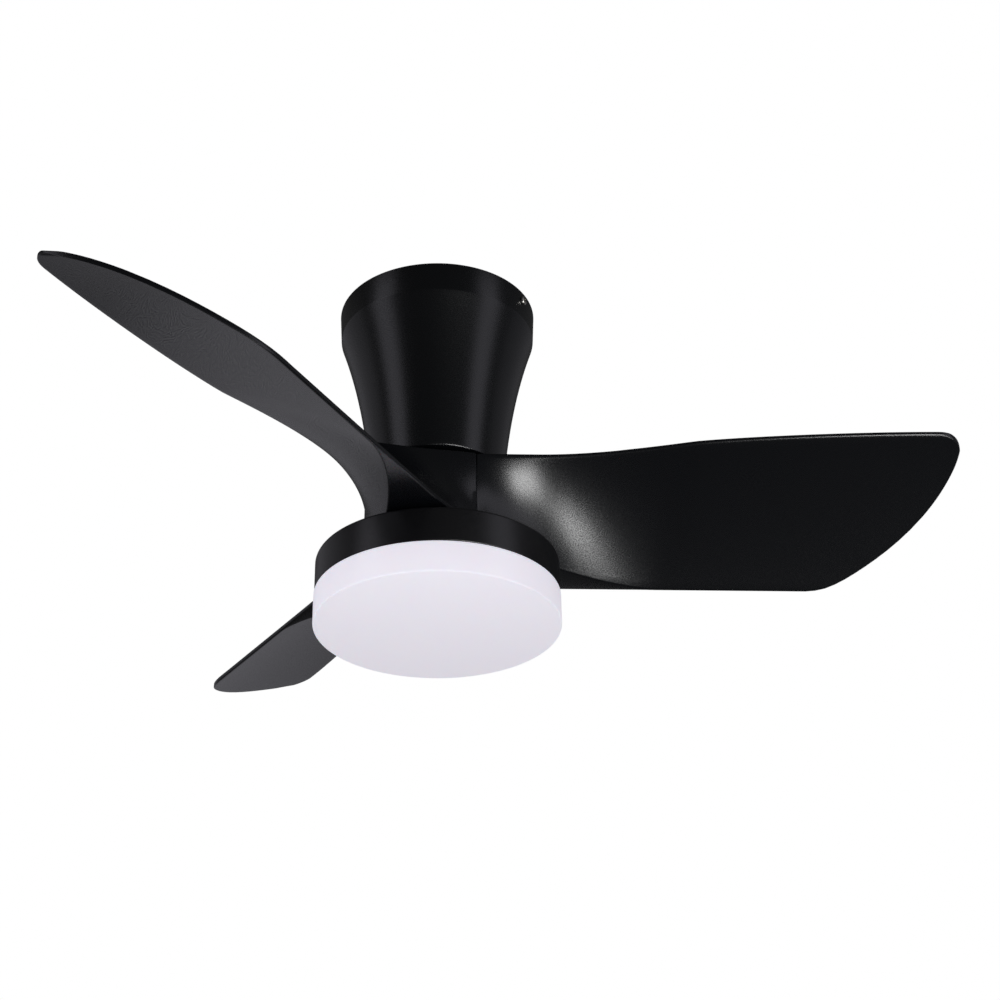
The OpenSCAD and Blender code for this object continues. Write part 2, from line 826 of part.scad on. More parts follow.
module shell_screw_holes(z, h, r) {
    around(6, shell_screw_r, 30)
        translate([0, 0, z])
            cylinder(r = r, h = h);
}

split_z = stack_mid_z;
module motor_bottom_shell() {
    color("gray")
    difference() {
        union() {
            translate([0, 0, motor_bottom_z])
                cylinder(r = motor_r, h = shell_wall);
            translate([0, 0, motor_bottom_z])
                ring(skirt_r, motor_r, split_z - motor_bottom_z);
            bearing_boss(motor_bottom_z, shell_wall + bearing_w);
            blade_screw_places()
                translate([0, 0, motor_bottom_z])
                    cylinder(r = m5_r + 2.2, h = boss_h);
        }
        translate([0, 0, lower_race_z])
            cylinder(r = bearing_r, h = bearing_w + 1);
        translate([0, 0, motor_bottom_z - eps])
            cylinder(r = shaft_r + 2.5 + 1, h = 2 * shell_wall);
        blade_screw_places()
            translate([0, 0, motor_bottom_z - eps])
                cylinder(r = m5_r, h = boss_h - 1);
        shell_screw_holes(split_z - 14, 15, m3_r);
    }
}

module motor_top_shell() {
    color("gray")
    difference() {
        union() {
            translate([0, 0, motor_top_z - shell_wall])
                cylinder(r = motor_r, h = shell_wall);
            translate([0, 0, split_z])
                ring(skirt_r, motor_r, motor_top_z - split_z);
            bearing_boss(upper_race_z, bearing_w + shell_wall);
        }
        translate([0, 0, upper_race_z - 1])
            cylinder(r = bearing_r, h = bearing_w + 1);
        translate([0, 0, upper_race_z])
            cylinder(r = shaft_r + 3.5, h = 3 * bearing_w);
        shell_screw_holes(split_z - 1, motor_h, m3_r + fit_gap);
    }
}

module shell_screws() {
    color("silver")
    around(6, shell_screw_r, 30)
        translate([0, 0, motor_top_z])
            rotate([180, 0, 0])
                screw(m3_r, motor_top_z - split_z + 12, shell_head_r, shell_head_h);
}

module rotor_yoke() {
    color("dimgray")
    translate([0, 0, yoke_low_z])
        ring(yoke_r, skirt_r, yoke_h);
}

module rotor_magnets() {
    arc = 360 / poles - 4;
    color("darkslategray")
    for (i = [0 : poles - 1])
        translate([0, 0, yoke_low_z + 2])
            sector(magnet_r, yoke_r, i * 360 / poles, i * 360 / poles + arc, yoke_h - 4);
}

cap_r = motor_r + root_play - run_gap;
cap_ring_r = shell_screw_r - 5;
module hub_cap() {
    color([0.08, 0.08, 0.09])
    translate([0, 0, motor_top_z])
        difference() {
            union() {
                translate([0, 0, hub_top_z - 0.5 - 2.3 - motor_top_z])
                    cylinder(r = cap_r, h = 2.3);
                ring(cap_ring_r - 2, cap_ring_r, hub_top_z - 0.5 - 2.3 - motor_top_z + eps);
            }
            translate([0, 0, -eps])
                cylinder(r = tube_r + 5, h = hub_h);
            // pockets for the shell screws' heads, reached when the hub is low
            around(6, shell_screw_r, 30)
                translate([0, 0, -eps])
                    cylinder(r = shell_head_r + 0.4, h = shell_head_h + 0.3);
        }
}

module blade_screw_places() {
    for (blade = [0 : 2], az = blade_screw_az)
        rotate([0, 0, blade_az + 120 * blade + az])
            translate([blade_screw_r, 0, 0])
                children();
}

module blade_screws() {
    color("silver")
    blade_screw_places()
        translate([0, 0, hub_bottom_z])
            screw(m5_r, root_wall + boss_h - 2, 4.6, 2.6);
}

// stations along the blade: even to the tip's corner, then closer and closer
root_stations = [for (x = [inner_x : 15 : cavity_x]) x];
plate_stations = [for (i = [1 : 22]) mix(max(root_stations), tip_x - tip_round, i / 22)];
tip_stations = [for (i = [1 : 7]) tip_x - tip_round + (tip_round - 0.25) * sin(90 * i / 7)];
stations = concat(root_stations, plate_stations, tip_stations);

module blade_body() {
    loft([for (i = [len(stations) - 1 : -1 : 0]) section(stations[i])]);
}

module blade_hollow() {
    loft([for (i = [len(root_stations) - 1 : -1 : 0]) hollow(root_stations[i])]);
}

module blade_sector() {
    reach = 2 * sweep_d;
    sides = [for (az = [own_seam, next_seam]) reach * [cos(az), sin(az)]];
    shift = seam_gap / 2 / sin(60);
    middle = (own_seam + next_seam) / 2;
    translate([shift * cos(middle), shift * sin(middle), hub_bottom_z - 1])
        linear_extrude(hub_h + 2)
            polygon([[0, 0], sides[0], sides[1]]);
}

module blade(index) {
    color([0.1, 0.1, 0.11])
    rotate([0, 0, blade_az + 120 * index])
        difference() {
            union() {
                difference() {
                    intersection() {
                        blade_body();
                        blade_sector();
                    }
                    blade_hollow();
                    translate([0, 0, hub_bottom_z - 2])
                        cylinder(r = motor_r + root_play, h = hub_h + 4);
                }
                translate([0, 0, hub_bottom_z])
                    sector(flange_in_r, motor_r + root_play + 0.6, own_seam + 6, next_seam - 3, root_wall);
            }
            for (az = blade_screw_az)
                rotate([0, 0, az])
                    translate([blade_screw_r, 0, hub_bottom_z - 1])
                        cylinder(r = m5_r + 2 * fit_gap, h = root_wall + 2);
        }
}

module blade_1() { blade(0); }
module blade_2() { blade(1); }
module blade_3() { blade(2); }

// ---- light ----

tab_arc = lug_arc + 4;
tab_top_z = pan_bottom_z + 3.4;
tab_t = 2.4;
lug_t = 2.5;
module light_pan() {
    rounding = corner([pan_r - pan_round, pan_top_z - pan_round], pan_round, 90, 0, round_steps);
    color([0.07, 0.07, 0.08])
    union() {
        difference() {
            rotate_extrude()
                polygon(concat([[shaft_r + fit_gap, pan_top_z]], rounding,
                    [[pan_r, pan_bottom_z], [pan_bore_r, pan_bottom_z], [pan_bore_r, pan_floor_z],
                        [shaft_r + fit_gap, pan_floor_z]]));
            plate_screw_places()
                translate([0, 0, pan_floor_z - 1])
                    cylinder(r = m3_r + fit_gap, h = pan_wall);
        }
        for (az = [0, 120, 240]) {
            translate([0, 0, tab_top_z - tab_t])
                sector(neck_r + run_gap, pan_bore_r + eps, az - tab_arc / 2, az + tab_arc / 2, tab_t);
            translate([0, 0, tab_top_z - eps])
                sector(neck_r + run_gap, pan_bore_r + eps,
                    az + lug_arc / 2 + 1, az + lug_arc / 2 + 2.5, lug_t);
        }
    }
}

module plate_screw_places() {
    around(3, plate_r - 7, bracket_az - 30)
        children();
}

module light_plate() {
    color("lightsteelblue")
    translate([0, 0, pan_floor_z - plate_t])
        difference() {
            cylinder(r = plate_r, h = plate_t);
            translate([0, 0, -eps])
                cylinder(r = shaft_r + fit_gap, h = plate_t + 2 * eps);
            plate_screw_places()
                translate([0, 0, -eps])
                    cylinder(r = m3_r + fit_gap, h = plate_t + 2 * eps);
        }
}

module plate_screws() {
    color("silver")
    plate_screw_places()
        translate([0, 0, pan_floor_z - plate_t])
            screw(m3_r, plate_t + pan_wall / 2, 2.8, 1.8);
}

module light_washer() {
    color("silver")
    translate([0, 0, pan_floor_z - plate_t - 1.5])
        ring(shaft_r + fit_gap, nut_af / 2 + 1, 1.5);
}

module light_nut() {
    color("silver")
    translate([0, 0, pan_floor_z - plate_t - 8.5])
        difference() {
            cylinder(d = nut_af / cos(30), h = 7, $fn = 6);
            translate([0, 0, -eps])
                cylinder(r = shaft_r + fit_gap, h = 8);
        }
}

driver_len = 40;
driver_w = 34;
driver_h = 18;
module driver_place() {
    rotate([0, 0, bracket_az])
        translate([-driver_w / 2, driver_near, pan_floor_z - driver_h])
            children();
}

module led_driver() {
    color("whitesmoke")
    driver_place()
        difference() {
            union() {
                cube([driver_w, driver_len, driver_h]);
                translate([-6, driver_len / 2 - 5, driver_h - 2])
                    cube([driver_w + 12, 10, 2]);
            }
            for (x = [-3, driver_w + 3])
                translate([x, driver_len / 2, driver_h - 3])
                    cylinder(r = m3_r + fit_gap, h = 4);
        }
}

module driver_screws() {
    color("silver")
    driver_place()
        for (x = [-3, driver_w + 3])
            translate([x, driver_len / 2, driver_h - 2])
                screw(m3_r, 2, 2.6, 1.8);
}

board_z = pan_bottom_z + 5;
standoff_az = bracket_az + 45;
module led_standoffs() {
    color("gold")
    around(4, standoff_r, standoff_az)
        translate([0, 0, board_z + board_t])
            cylinder(r = 4, h = pan_floor_z - board_z - board_t);
}

module led_board() {
    color("white")
    translate([0, 0, board_z])
        difference() {
            cylinder(r = board_r, h = board_t);
            around(4, standoff_r, standoff_az)
                translate([0, 0, -eps])
                    cylinder(r = m3_r + fit_gap, h = board_t + 2 * eps);
        }
}

chip_rings = [[12, 0.3], [20, 0.52], [28, 0.74]];
module led_chips() {
    color("yellow")
    for (row = chip_rings)
        around(row[0], row[1] * board_r)
            translate([-1.4, -1.75, board_z - 0.8])
                cube([2.8, 3.5, 0.8]);
}

module led_screws() {
    color("silver")
    around(4, standoff_r, standoff_az)
        translate([0, 0, board_z])
            screw(m3_r, board_t - 0.1, 2.8, 1.8);
}

diffuser_top_z = pan_bottom_z - run_gap;
diffuser_low_z = pan_bottom_z - diffuser_h;
lug_z = tab_top_z + run_gap;
// half outline of the diffuser's bottom shell at a distance inside its outer face
function diffuser_line(inset) = let (
    r = diffuser_r - inset,
    z = diffuser_low_z + dome_h + inset,
    round_r = max(diffuser_round - inset, 0.5),
    flat = r - round_r)
    concat(
        [for (i = [0 : curve_steps]) let (s = i / curve_steps) [flat * s, z - dome_h * (1 - s * s)]],
        [for (i = [1 : round_steps]) [flat, z + round_r] + round_r * [sin(90 * i / round_steps),
            -cos(90 * i / round_steps)]]);

module diffuser() {
    outer = diffuser_line(0);
    inner = diffuser_line(diffuser_wall);
    color([0.93, 0.93, 0.96])
    union() {
        rotate_extrude()
            polygon(concat(outer,
                [[diffuser_r, diffuser_top_z - 0.8], [diffuser_r - 0.8, diffuser_top_z],
                    [neck_r, diffuser_top_z],
                    [neck_r, lug_z + lug_t], [neck_r - diffuser_wall, lug_z + lug_t],
                    [neck_r - diffuser_wall, diffuser_top_z - 2],
                    [diffuser_r - diffuser_wall, diffuser_top_z - 2 - diffuser_wall]],
                [for (i = [len(inner) - 1 : -1 : 0]) inner[i]]));
        for (az = [0, 120, 240])
            translate([0, 0, lug_z])
                sector(neck_r - eps, pan_bore_r - run_gap * 2, az - lug_arc / 2, az + lug_arc / 2, lug_t);
    }
}

ceiling_bracket();
canopy();
canopy_screws();
hanger_tube();
hanger_pin();
pin_clip();
receiver_base();
receiver_board();
receiver_lid();
receiver_screws();
terminal_block();
earth_screw();
motor_lead();
light_lead();
motor_shaft();
tube_set_screws();
shaft_circlip();
shaft_spacers();
upper_inner_race();
lower_inner_race();
upper_cage();
lower_cage();
upper_balls();
lower_balls();
upper_outer_race();
lower_outer_race();
stator_core();
stator_insulators();
stator_windings();
motor_top_shell();
motor_bottom_shell();
shell_screws();
rotor_yoke();
rotor_magnets();
hub_cap();
blade_1();
blade_2();
blade_3();
blade_screws();
light_pan();
light_plate();
plate_screws();
light_washer();
light_nut();
led_driver();
driver_screws();
led_standoffs();
led_board();
led_chips();
led_screws();
diffuser();
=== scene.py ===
"""Ceiling fan with light: the visible pieces and finishes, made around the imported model. Metres, +Z up."""
import math

import bmesh
import bpy
from mathutils import Matrix, Vector


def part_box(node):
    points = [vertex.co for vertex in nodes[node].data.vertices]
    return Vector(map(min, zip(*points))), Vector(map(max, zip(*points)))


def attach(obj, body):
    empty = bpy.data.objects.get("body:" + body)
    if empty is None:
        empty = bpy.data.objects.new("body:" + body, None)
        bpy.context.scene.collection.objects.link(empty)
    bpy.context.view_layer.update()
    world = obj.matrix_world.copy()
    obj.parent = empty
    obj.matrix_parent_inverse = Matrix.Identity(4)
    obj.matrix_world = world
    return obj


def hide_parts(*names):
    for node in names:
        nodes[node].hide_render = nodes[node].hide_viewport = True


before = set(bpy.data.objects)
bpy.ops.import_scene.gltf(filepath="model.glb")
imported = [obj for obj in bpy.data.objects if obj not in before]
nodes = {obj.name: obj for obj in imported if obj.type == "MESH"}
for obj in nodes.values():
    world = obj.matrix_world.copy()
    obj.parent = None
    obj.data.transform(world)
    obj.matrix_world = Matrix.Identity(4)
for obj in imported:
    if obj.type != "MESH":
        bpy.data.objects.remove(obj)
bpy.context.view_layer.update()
MM = 0.001


# ---- Camera, floor and studio light ----
# The fan is seen from below, off to one side of its bracket, against a white studio with a plain pale
# floor. Tall soft boxes and wide panels stand at both sides and behind; two small boxes low in front draw
# the sheen on the right blade, and a narrow one lights the bowl alone.
VIEW_TURN = math.radians(29.5)
VIEW_RISE = math.radians(29.42)
VIEW_AWAY = 1.4636
VIEW_DROP = 1.0202
LENS = 67.55
SENSOR_W = 36
LENS_SHIFT = 0.0628
ROOM_H = 2.6
FLOOR_HALF = 6.0
FLOOR_GLOW = 0.75
ROOM_GLOW = 0.05
LIT_POINT = (0, 0, -0.2)
COOL_WHITE, PLAIN_WHITE = "EFEDF9", "FFFFFF"
# turn from the camera's side in degrees, distance, height, width and length in metres, watts, tint
SOFT_BOXES = {
    "left_box": (-62, 1.7, 0.0, 0.7, 2.2, 4.4, COOL_WHITE),
    "right_box": (60, 1.7, 0.0, 0.7, 2.2, 3.9, COOL_WHITE),
    "left_panel": (-120, 2.0, 0.0, 2.2, 2.0, 3.2, COOL_WHITE),
    "right_panel": (120, 2.0, 0.0, 2.2, 2.0, 1.8, COOL_WHITE),
    "back_box": (180, 2.2, -0.1, 2.4, 1.4, 2.7, COOL_WHITE),
    "low_box": (31, 1.6, -0.98, 0.7, 0.7, 22.5, PLAIN_WHITE),
    "floor_box": (60, 1.5, -1.85, 0.5, 0.5, 12, PLAIN_WHITE),
    "bowl_box": (0, 0.35, -0.62, 1.0, 0.15, 0.95, PLAIN_WHITE),
}


def hex_colour(code):
    """Linear colour of an sRGB hex value."""
    parts = [int(code[i:i + 2], 16) / 255 for i in (0, 2, 4)]
    return tuple(c / 12.92 if c <= 0.04045 else ((c + 0.055) / 1.055) ** 2.4 for c in parts) + (1.0,)


def add(tree, kind, inputs=None, **settings):
    """Adds one node with its settings, input values and links."""
    node = tree.nodes.new(kind)
    for name, value in settings.items():
        setattr(node, name, value)
    for name, value in (inputs or {}).items():
        if isinstance(value, bpy.types.NodeSocket):
            tree.links.new(value, node.inputs[name])
        else:
            node.inputs[name].default_value = value
    return node


def around_axis(distance, turn, height):
    """A place at a distance from the fan's axis, turned from the camera's side."""
    angle = VIEW_TURN - math.pi / 2 + turn
    return Vector((distance * math.cos(angle), distance * math.sin(angle), height))


camera = bpy.data.objects.new("camera", bpy.data.cameras.new("camera"))
camera.location = around_axis(VIEW_AWAY, 0, -VIEW_DROP)
camera.rotation_euler = (math.pi / 2 + VIEW_RISE, 0, VIEW_TURN)
camera.data.lens = LENS
camera.data.sensor_width = SENSOR_W
camera.data.shift_x = LENS_SHIFT
bpy.context.scene.collection.objects.link(camera)
bpy.context.scene.camera = camera
bpy.context.scene.view_settings.view_transform = "Standard"


def soft_box(name, turn, distance, height, width, length, watts, tint):
    """A rectangular lamp that faces the fan and is not seen itself."""
    light = bpy.data.objects.new(name, bpy.data.lights.new(name, "AREA"))
    light.data.shape = "RECTANGLE"
    light.data.size = width
    light.data.size_y = length
    light.data.energy = watts
    light.data.color = hex_colour(tint)[:3]
    light.location = around_axis(distance, math.radians(turn), height)
    light.rotation_euler = (Vector(LIT_POINT) - light.location).to_track_quat("-Z", "Y").to_euler()
    light.visible_camera = False
    bpy.context.scene.collection.objects.link(light)
    return light


boxes = {name: soft_box(name, *values) for name, values in SOFT_BOXES.items()}

world = bpy.data.worlds.new("studio")
world.use_nodes = True
world.node_tree.nodes.clear()
ray = add(world.node_tree, "ShaderNodeLightPath")
plain_white = hex_colour(PLAIN_WHITE)
room = add(world.node_tree, "ShaderNodeBackground", {"Color": plain_white, "Strength": ROOM_GLOW})
white = add(world.node_tree, "ShaderNodeBackground", {"Color": plain_white, "Strength": 1.0})
sky = add(world.node_tree, "ShaderNodeMixShader",
    {0: ray.outputs["Is Camera Ray"], 1: room.outputs[0], 2: white.outputs[0]})
add(world.node_tree, "ShaderNodeOutputWorld", {"Surface": sky.outputs[0]})
bpy.context.scene.world = world

floor_mesh = bpy.data.meshes.new("floor")
floor_corners = [(x * FLOOR_HALF, y * FLOOR_HALF, -ROOM_H) for x, y in ((-1, -1), (1, -1), (1, 1), (-1, 1))]
floor_mesh.from_pydata(floor_corners, [], [(0, 1, 2, 3)])
floor = bpy.data.objects.new("floor", floor_mesh)
bpy.context.scene.collection.objects.link(floor)
floor.visible_glossy = False
floor.visible_diffuse = False
# floor paint: an even pale grey that glows a little, so that it stays light at every distance
floor_paint = bpy.data.materials.new("pale floor paint")
floor_paint.use_nodes = True
floor_shader = floor_paint.node_tree.nodes["Principled BSDF"]
floor_shader.inputs["Base Color"].default_value = hex_colour("E9E9EA")
floor_shader.inputs["Emission Color"].default_value = hex_colour("E9E9EA")
floor_shader.inputs["Emission Strength"].default_value = FLOOR_GLOW
floor_mesh.materials.append(floor_paint)


# ---- Ceiling bracket ----
# A cross-shaped plate pressed from 2.5 mm steel and zinc plated, with a welded sleeve for the hanger tube
# and two turned-down ears. Two screws in its slots hold the whole fan to the ceiling.
CLOUD_SIZE = 12
NOISE_LOW, NOISE_HIGH = 0.3, 0.7


def finish(name, code, roughness, grain, depth, metallic=0.0, spread=0.06, streak=(1, 1, 1), tone=None):
    """A surface with a grain of that size and depth in millimetres, which varies its gloss. Clouds many grains
    wide shift its colour toward the second tone, and a streak below one draws the grain out along that axis."""
    material = bpy.data.materials.new(name)
    material.use_nodes = True
    tree = material.node_tree
    shader = tree.nodes["Principled BSDF"]
    shader.inputs["Metallic"].default_value = metallic
    place = add(tree, "ShaderNodeTexCoord")
    scaled = add(tree, "ShaderNodeMapping", {"Vector": place.outputs["Object"], "Scale": streak})
    fine, coarse = 1 / (grain * MM), 1 / (CLOUD_SIZE * grain * MM)
    noise = add(tree, "ShaderNodeTexNoise",
        {"Vector": scaled.outputs[0], "Scale": fine, "Detail": 3.0, "Roughness": 0.6})
    cloud = add(tree, "ShaderNodeTexNoise",
        {"Vector": scaled.outputs[0], "Scale": coarse, "Detail": 2.0, "Roughness": 0.5})
    # sockets 0, 6 and 7 are the factor and the two colours
    shade = add(tree, "ShaderNodeMix",
        {0: cloud.outputs[0], 6: hex_colour(code), 7: hex_colour(tone or code)}, data_type="RGBA")
    gloss = add(tree, "ShaderNodeMapRange",
        {"Value": noise.outputs[0], "From Min": NOISE_LOW, "From Max": NOISE_HIGH,
        "To Min": roughness - spread, "To Max": roughness + spread})
    bump = add(tree, "ShaderNodeBump",
        {"Height": noise.outputs[0], "Distance": depth * MM, "Strength": 1.0})
    tree.links.new(shade.outputs[2], shader.inputs["Base Color"])
    tree.links.new(gloss.outputs[0], shader.inputs["Roughness"])
    tree.links.new(bump.outputs[0], shader.inputs["Normal"])
    return material


def dress(material, *names):
    """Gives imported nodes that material."""
    for name in names:
        for slot in nodes[name].material_slots:
            slot.material = material


# bright zinc plating: a cool grey metal, cloudy where the crystals catch the light differently
zinc_plated = finish("zinc-plated steel", "A6ABB1", 0.36, 2.5, 0.02,
    metallic=1.0, spread=0.08, tone="8F959C")
dress(zinc_plated, "ceiling_bracket")


# ---- Hanger tube and pin ----
# A seamless steel tube, phosphated black, hangs in the bracket's sleeve on a nickel-plated pin with a
# spring clip. Two grub screws in its lower end clamp the motor's shaft.

# black phosphate: dull and faintly mottled, it soaks up the light
black_phosphate = finish("black phosphated steel", "202124", 0.52, 1.2, 0.03, metallic=0.7, tone="16171A")
dress(black_phosphate, "hanger_tube", "tube_set_screws")
# nickel plating: small bright parts with a faint warm cast and hairline scratches along their length
nickel_plated = finish("nickel-plated steel", "C9C7C2", 0.27, 0.8, 0.004,
    metallic=1.0, spread=0.05, streak=(1, 1, 0.2))
dress(nickel_plated, "hanger_pin", "pin_clip")


# ---- Receiver, terminal block and wiring ----
# The remote receiver is a printed board in a nylon box under the bracket. The mains cable ends in the
# terminal block and an earth screw, and two sheathed leads run down inside the tube to motor and light.

# moulded nylon: off-white, waxy, slightly uneven in tone
moulded_nylon = finish("moulded nylon", "D6D2C4", 0.44, 1.5, 0.03, tone="CFCBBD")
nylon_shader = moulded_nylon.node_tree.nodes["Principled BSDF"]
nylon_shader.inputs["Subsurface Weight"].default_value = 0.15
nylon_shader.inputs["Subsurface Scale"].default_value = 2 * MM
dress(moulded_nylon, "receiver_base", "receiver_lid", "terminal_block")
# solder resist on glass and epoxy: glossy green with the weave just showing as a mottle
solder_resist = finish("green solder resist", "0D4A25", 0.24, 0.9, 0.01, tone="0A3D1E")
dress(solder_resist, "receiver_board")
# turned brass: warm and fairly bright, with fine tool marks round the axis
turned_brass = finish("turned brass", "C59B52", 0.26, 0.6, 0.006, metallic=1.0, streak=(0.3, 0.3, 4))
dress(turned_brass, "earth_screw")
# extruded PVC sheath: soft and matte, with a faint drag along the wire
grey_sheath = finish("grey PVC sheath", "6E6F72", 0.55, 0.7, 0.02, streak=(1, 1, 0.15))
white_sheath = finish("white PVC sheath", "DEDEDA", 0.5, 0.7, 0.02, streak=(1, 1, 0.15))
dress(grey_sheath, "motor_lead")
dress(white_sheath, "light_lead")


# ---- Canopy ----
# A tapered cover moulded in black ABS, with a straight band at the ceiling, a crease, and a hollow taper
# below. It slides up over the bracket and is held by two screws through the band.
CANOPY_WALL = 2.2 * MM
CANOPY_DRAFT = 1.3 * MM
CANOPY_BAND = 27.5 * MM
CANOPY_HOLE = 26 * MM
CANOPY_LOW_R = 60.3 * MM
CANOPY_STEPS = 36
SIDE_HOLE_R = 2.1 * MM
TURNED_SIDES = 160
FINE_SIDES = 192


def bezier(points, count):
    """Points along a cubic curve."""
    a, b, c, d = [Vector(p) for p in points]
    steps = [i / count for i in range(count + 1)]
    return [a * (1 - t) ** 3 + b * 3 * (1 - t) ** 2 * t + c * 3 * (1 - t) * t * t + d * t ** 3
        for t in steps]


def rounded(outline, radii, steps=5):
    """A closed outline with each corner that has a radius softened by a short curve."""
    out = []
    count = len(outline)
    for i, (corner, radius) in enumerate(zip(outline, radii)):
        corner = Vector(corner)
        if not radius:
            out.append(corner)
            continue
        before = Vector(outline[i - 1]) - corner
        after = Vector(outline[(i + 1) % count]) - corner
        a = corner + before.normalized() * min(radius, 0.48 * before.length)
        b = corner + after.normalized() * min(radius, 0.48 * after.length)
        for k in range(steps + 1):
            t = k / steps
            out.append(a * (1 - t) ** 2 + corner * 2 * t * (1 - t) + b * t * t)
    return out


def link(name, mesh, material=None):
    """An object at the origin with that mesh, in one material if one is given."""
    piece = bpy.data.objects.new(name, mesh)
    bpy.context.scene.collection.objects.link(piece)
    if material:
        mesh.materials.clear()
        mesh.materials.append(material)
    return piece


def smooth(mesh, sharp_angle=32):
    """Shades the mesh smooth, and keeps edges crisp where it turns more than the angle."""
    mesh.shade_smooth()
    mesh.set_sharp_from_angle(angle=math.radians(sharp_angle))


def baked(name, shape):
    """The mesh of a finished bmesh shape, which is freed."""
    mesh = bpy.data.meshes.new(name)
    shape.to_mesh(mesh)
    shape.free()
    return mesh


def turned(name, outline, sides=TURNED_SIDES):
    """Mesh of a closed (radius, height) outline turned about the fan's axis."""
    shape = bmesh.new()
    rings = []
    for radius, height in outline:
        if radius < 1e-6:
            rings.append([shape.verts.new((0, 0, height))])
            continue
        rings.append([shape.verts.new((radius * math.cos(k * math.tau / sides),
            radius * math.sin(k * math.tau / sides), height)) for k in range(sides)])
    for ring, nxt in zip(rings, rings[1:] + rings[:1]):
        for k in range(sides):
            corners = [ring[k % len(ring)], ring[(k + 1) % len(ring)],
                nxt[(k + 1) % len(nxt)], nxt[k % len(nxt)]]
            corners = list(dict.fromkeys(corners))
            if len(corners) > 2:
                shape.faces.new(corners)
    bmesh.ops.recalc_face_normals(shape, faces=shape.faces)
    return baked(name, shape)


def box_mesh(name, low, high):
    """Mesh of a plain box between two corners."""
    shape = bmesh.new()
    bmesh.ops.create_cube(shape, size=1.0)
    for vert in shape.verts:
        vert.co = Vector([low[i] + (vert.co[i] + 0.5) * (high[i] - low[i]) for i in range(3)])
    return baked(name, shape)


def rod_mesh(name, radius, length, sides=32):
    """Mesh of a rod that stands on the origin."""
    shape = bmesh.new()
    bmesh.ops.create_cone(shape, cap_ends=True, segments=sides, radius1=radius, radius2=radius,
        depth=length, matrix=Matrix.Translation((0, 0, length / 2)))
    return baked(name, shape)


def combine(mesh, other, how):
    """The first mesh after an exact cut, union or intersection with the second."""
    body = link("work", mesh)
    tool = link("tool", other)
    step = body.modifiers.new("combine", "BOOLEAN")
    step.solver = "EXACT"
    step.operation = how
    step.object = tool
    depsgraph = bpy.context.evaluated_depsgraph_get()
    result = bpy.data.meshes.new_from_object(body.evaluated_get(depsgraph))
    bpy.data.objects.remove(body)
    bpy.data.objects.remove(tool)
    return result


canopy_low, canopy_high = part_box("canopy")
canopy_r = canopy_high[0]
canopy_bottom = canopy_low[2]
screw_low, screw_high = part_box("canopy_screws")
screw_z = (screw_low[2] + screw_high[2]) / 2


def canopy_side(inset):
    """Outer line of the side, lower edge to ceiling, at a distance inside the surface."""
    crease = canopy_r - CANOPY_DRAFT - inset
    low = CANOPY_LOW_R - inset
    spread = crease - low
    taper = -CANOPY_BAND - canopy_bottom
    curve = bezier([(low, canopy_bottom), (low + 0.17 * spread, canopy_bottom + taper / 3),
        (crease - 0.56 * spread, -CANOPY_BAND - taper / 3), (crease, -CANOPY_BAND)], CANOPY_STEPS)
    return curve + [Vector((canopy_r - inset, 0))]


outer = canopy_side(0)
inner = canopy_side(CANOPY_WALL)
canopy_outline = [Vector((CANOPY_HOLE, canopy_bottom))] + outer + inner[:0:-1] + [
    Vector((CANOPY_LOW_R - CANOPY_WALL, canopy_bottom + CANOPY_WALL)),
    Vector((CANOPY_HOLE, canopy_bottom + CANOPY_WALL))]
# hole's rim, foot, crease, ceiling edge outside and inside, then foot and hole's rim inside
along_side = [0] * (CANOPY_STEPS - 1)
canopy_radii = [0.6 * MM, 1.6 * MM] + along_side + [1.1 * MM, 0.7 * MM, 0.5 * MM]
canopy_radii += along_side + [0, 0.8 * MM, 0.6 * MM]
canopy_mesh = turned("canopy_shell", rounded(canopy_outline, canopy_radii))
hole_reach = 1.2 * canopy_r
screw_hole = rod_mesh("hole", SIDE_HOLE_R, 2 * hole_reach)
screw_hole.transform(Matrix.Translation((-hole_reach, 0, screw_z)) @ Matrix.Rotation(math.pi / 2, 4, "Y"))
canopy_mesh = combine(canopy_mesh, screw_hole, "DIFFERENCE")
smooth(canopy_mesh, sharp_angle=24)
# moulded ABS, satin: broad soft highlights, just broken up by a fine spark-eroded grain
moulded_black = finish("moulded black ABS", "050608", 0.28, 0.9, 0.05, spread=0.05)
canopy_shell = link("canopy_shell", canopy_mesh, moulded_black)
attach(canopy_shell, "fixed_frame")
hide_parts("canopy")


# ---- Screws ----
# Pan-head steel screws with a cross recess, nickel plated. Two hold the canopy to the bracket's ears from the
# side; the rest fix the receiver, the blades, the motor's shells, the light's plate and the LED board.
def screw_mesh(shank_r, length, head_r, head_h):
    """A screw with its head's seat on the origin, its head up and its shank down."""
    half_outline = [(0, head_h), (head_r, head_h), (head_r, 0),
        (shank_r, 0), (shank_r, -length), (0, -length)]
    # a domed head and a pointed end
    radii = [0, 1.4 * head_h, 0.15 * head_h, 0, 0.3 * shank_r, 0]
    mesh = turned("screw", rounded(half_outline, radii, steps=6), sides=28)
    arm, slim, floor_z = 0.62 * head_r, 0.16 * head_r, 0.45 * head_h
    for long, short in ((arm, slim), (slim, arm)):
        recess = box_mesh("recess", (-long, -short, floor_z), (long, short, 2 * head_h))
        mesh = combine(mesh, recess, "DIFFERENCE")
    return mesh


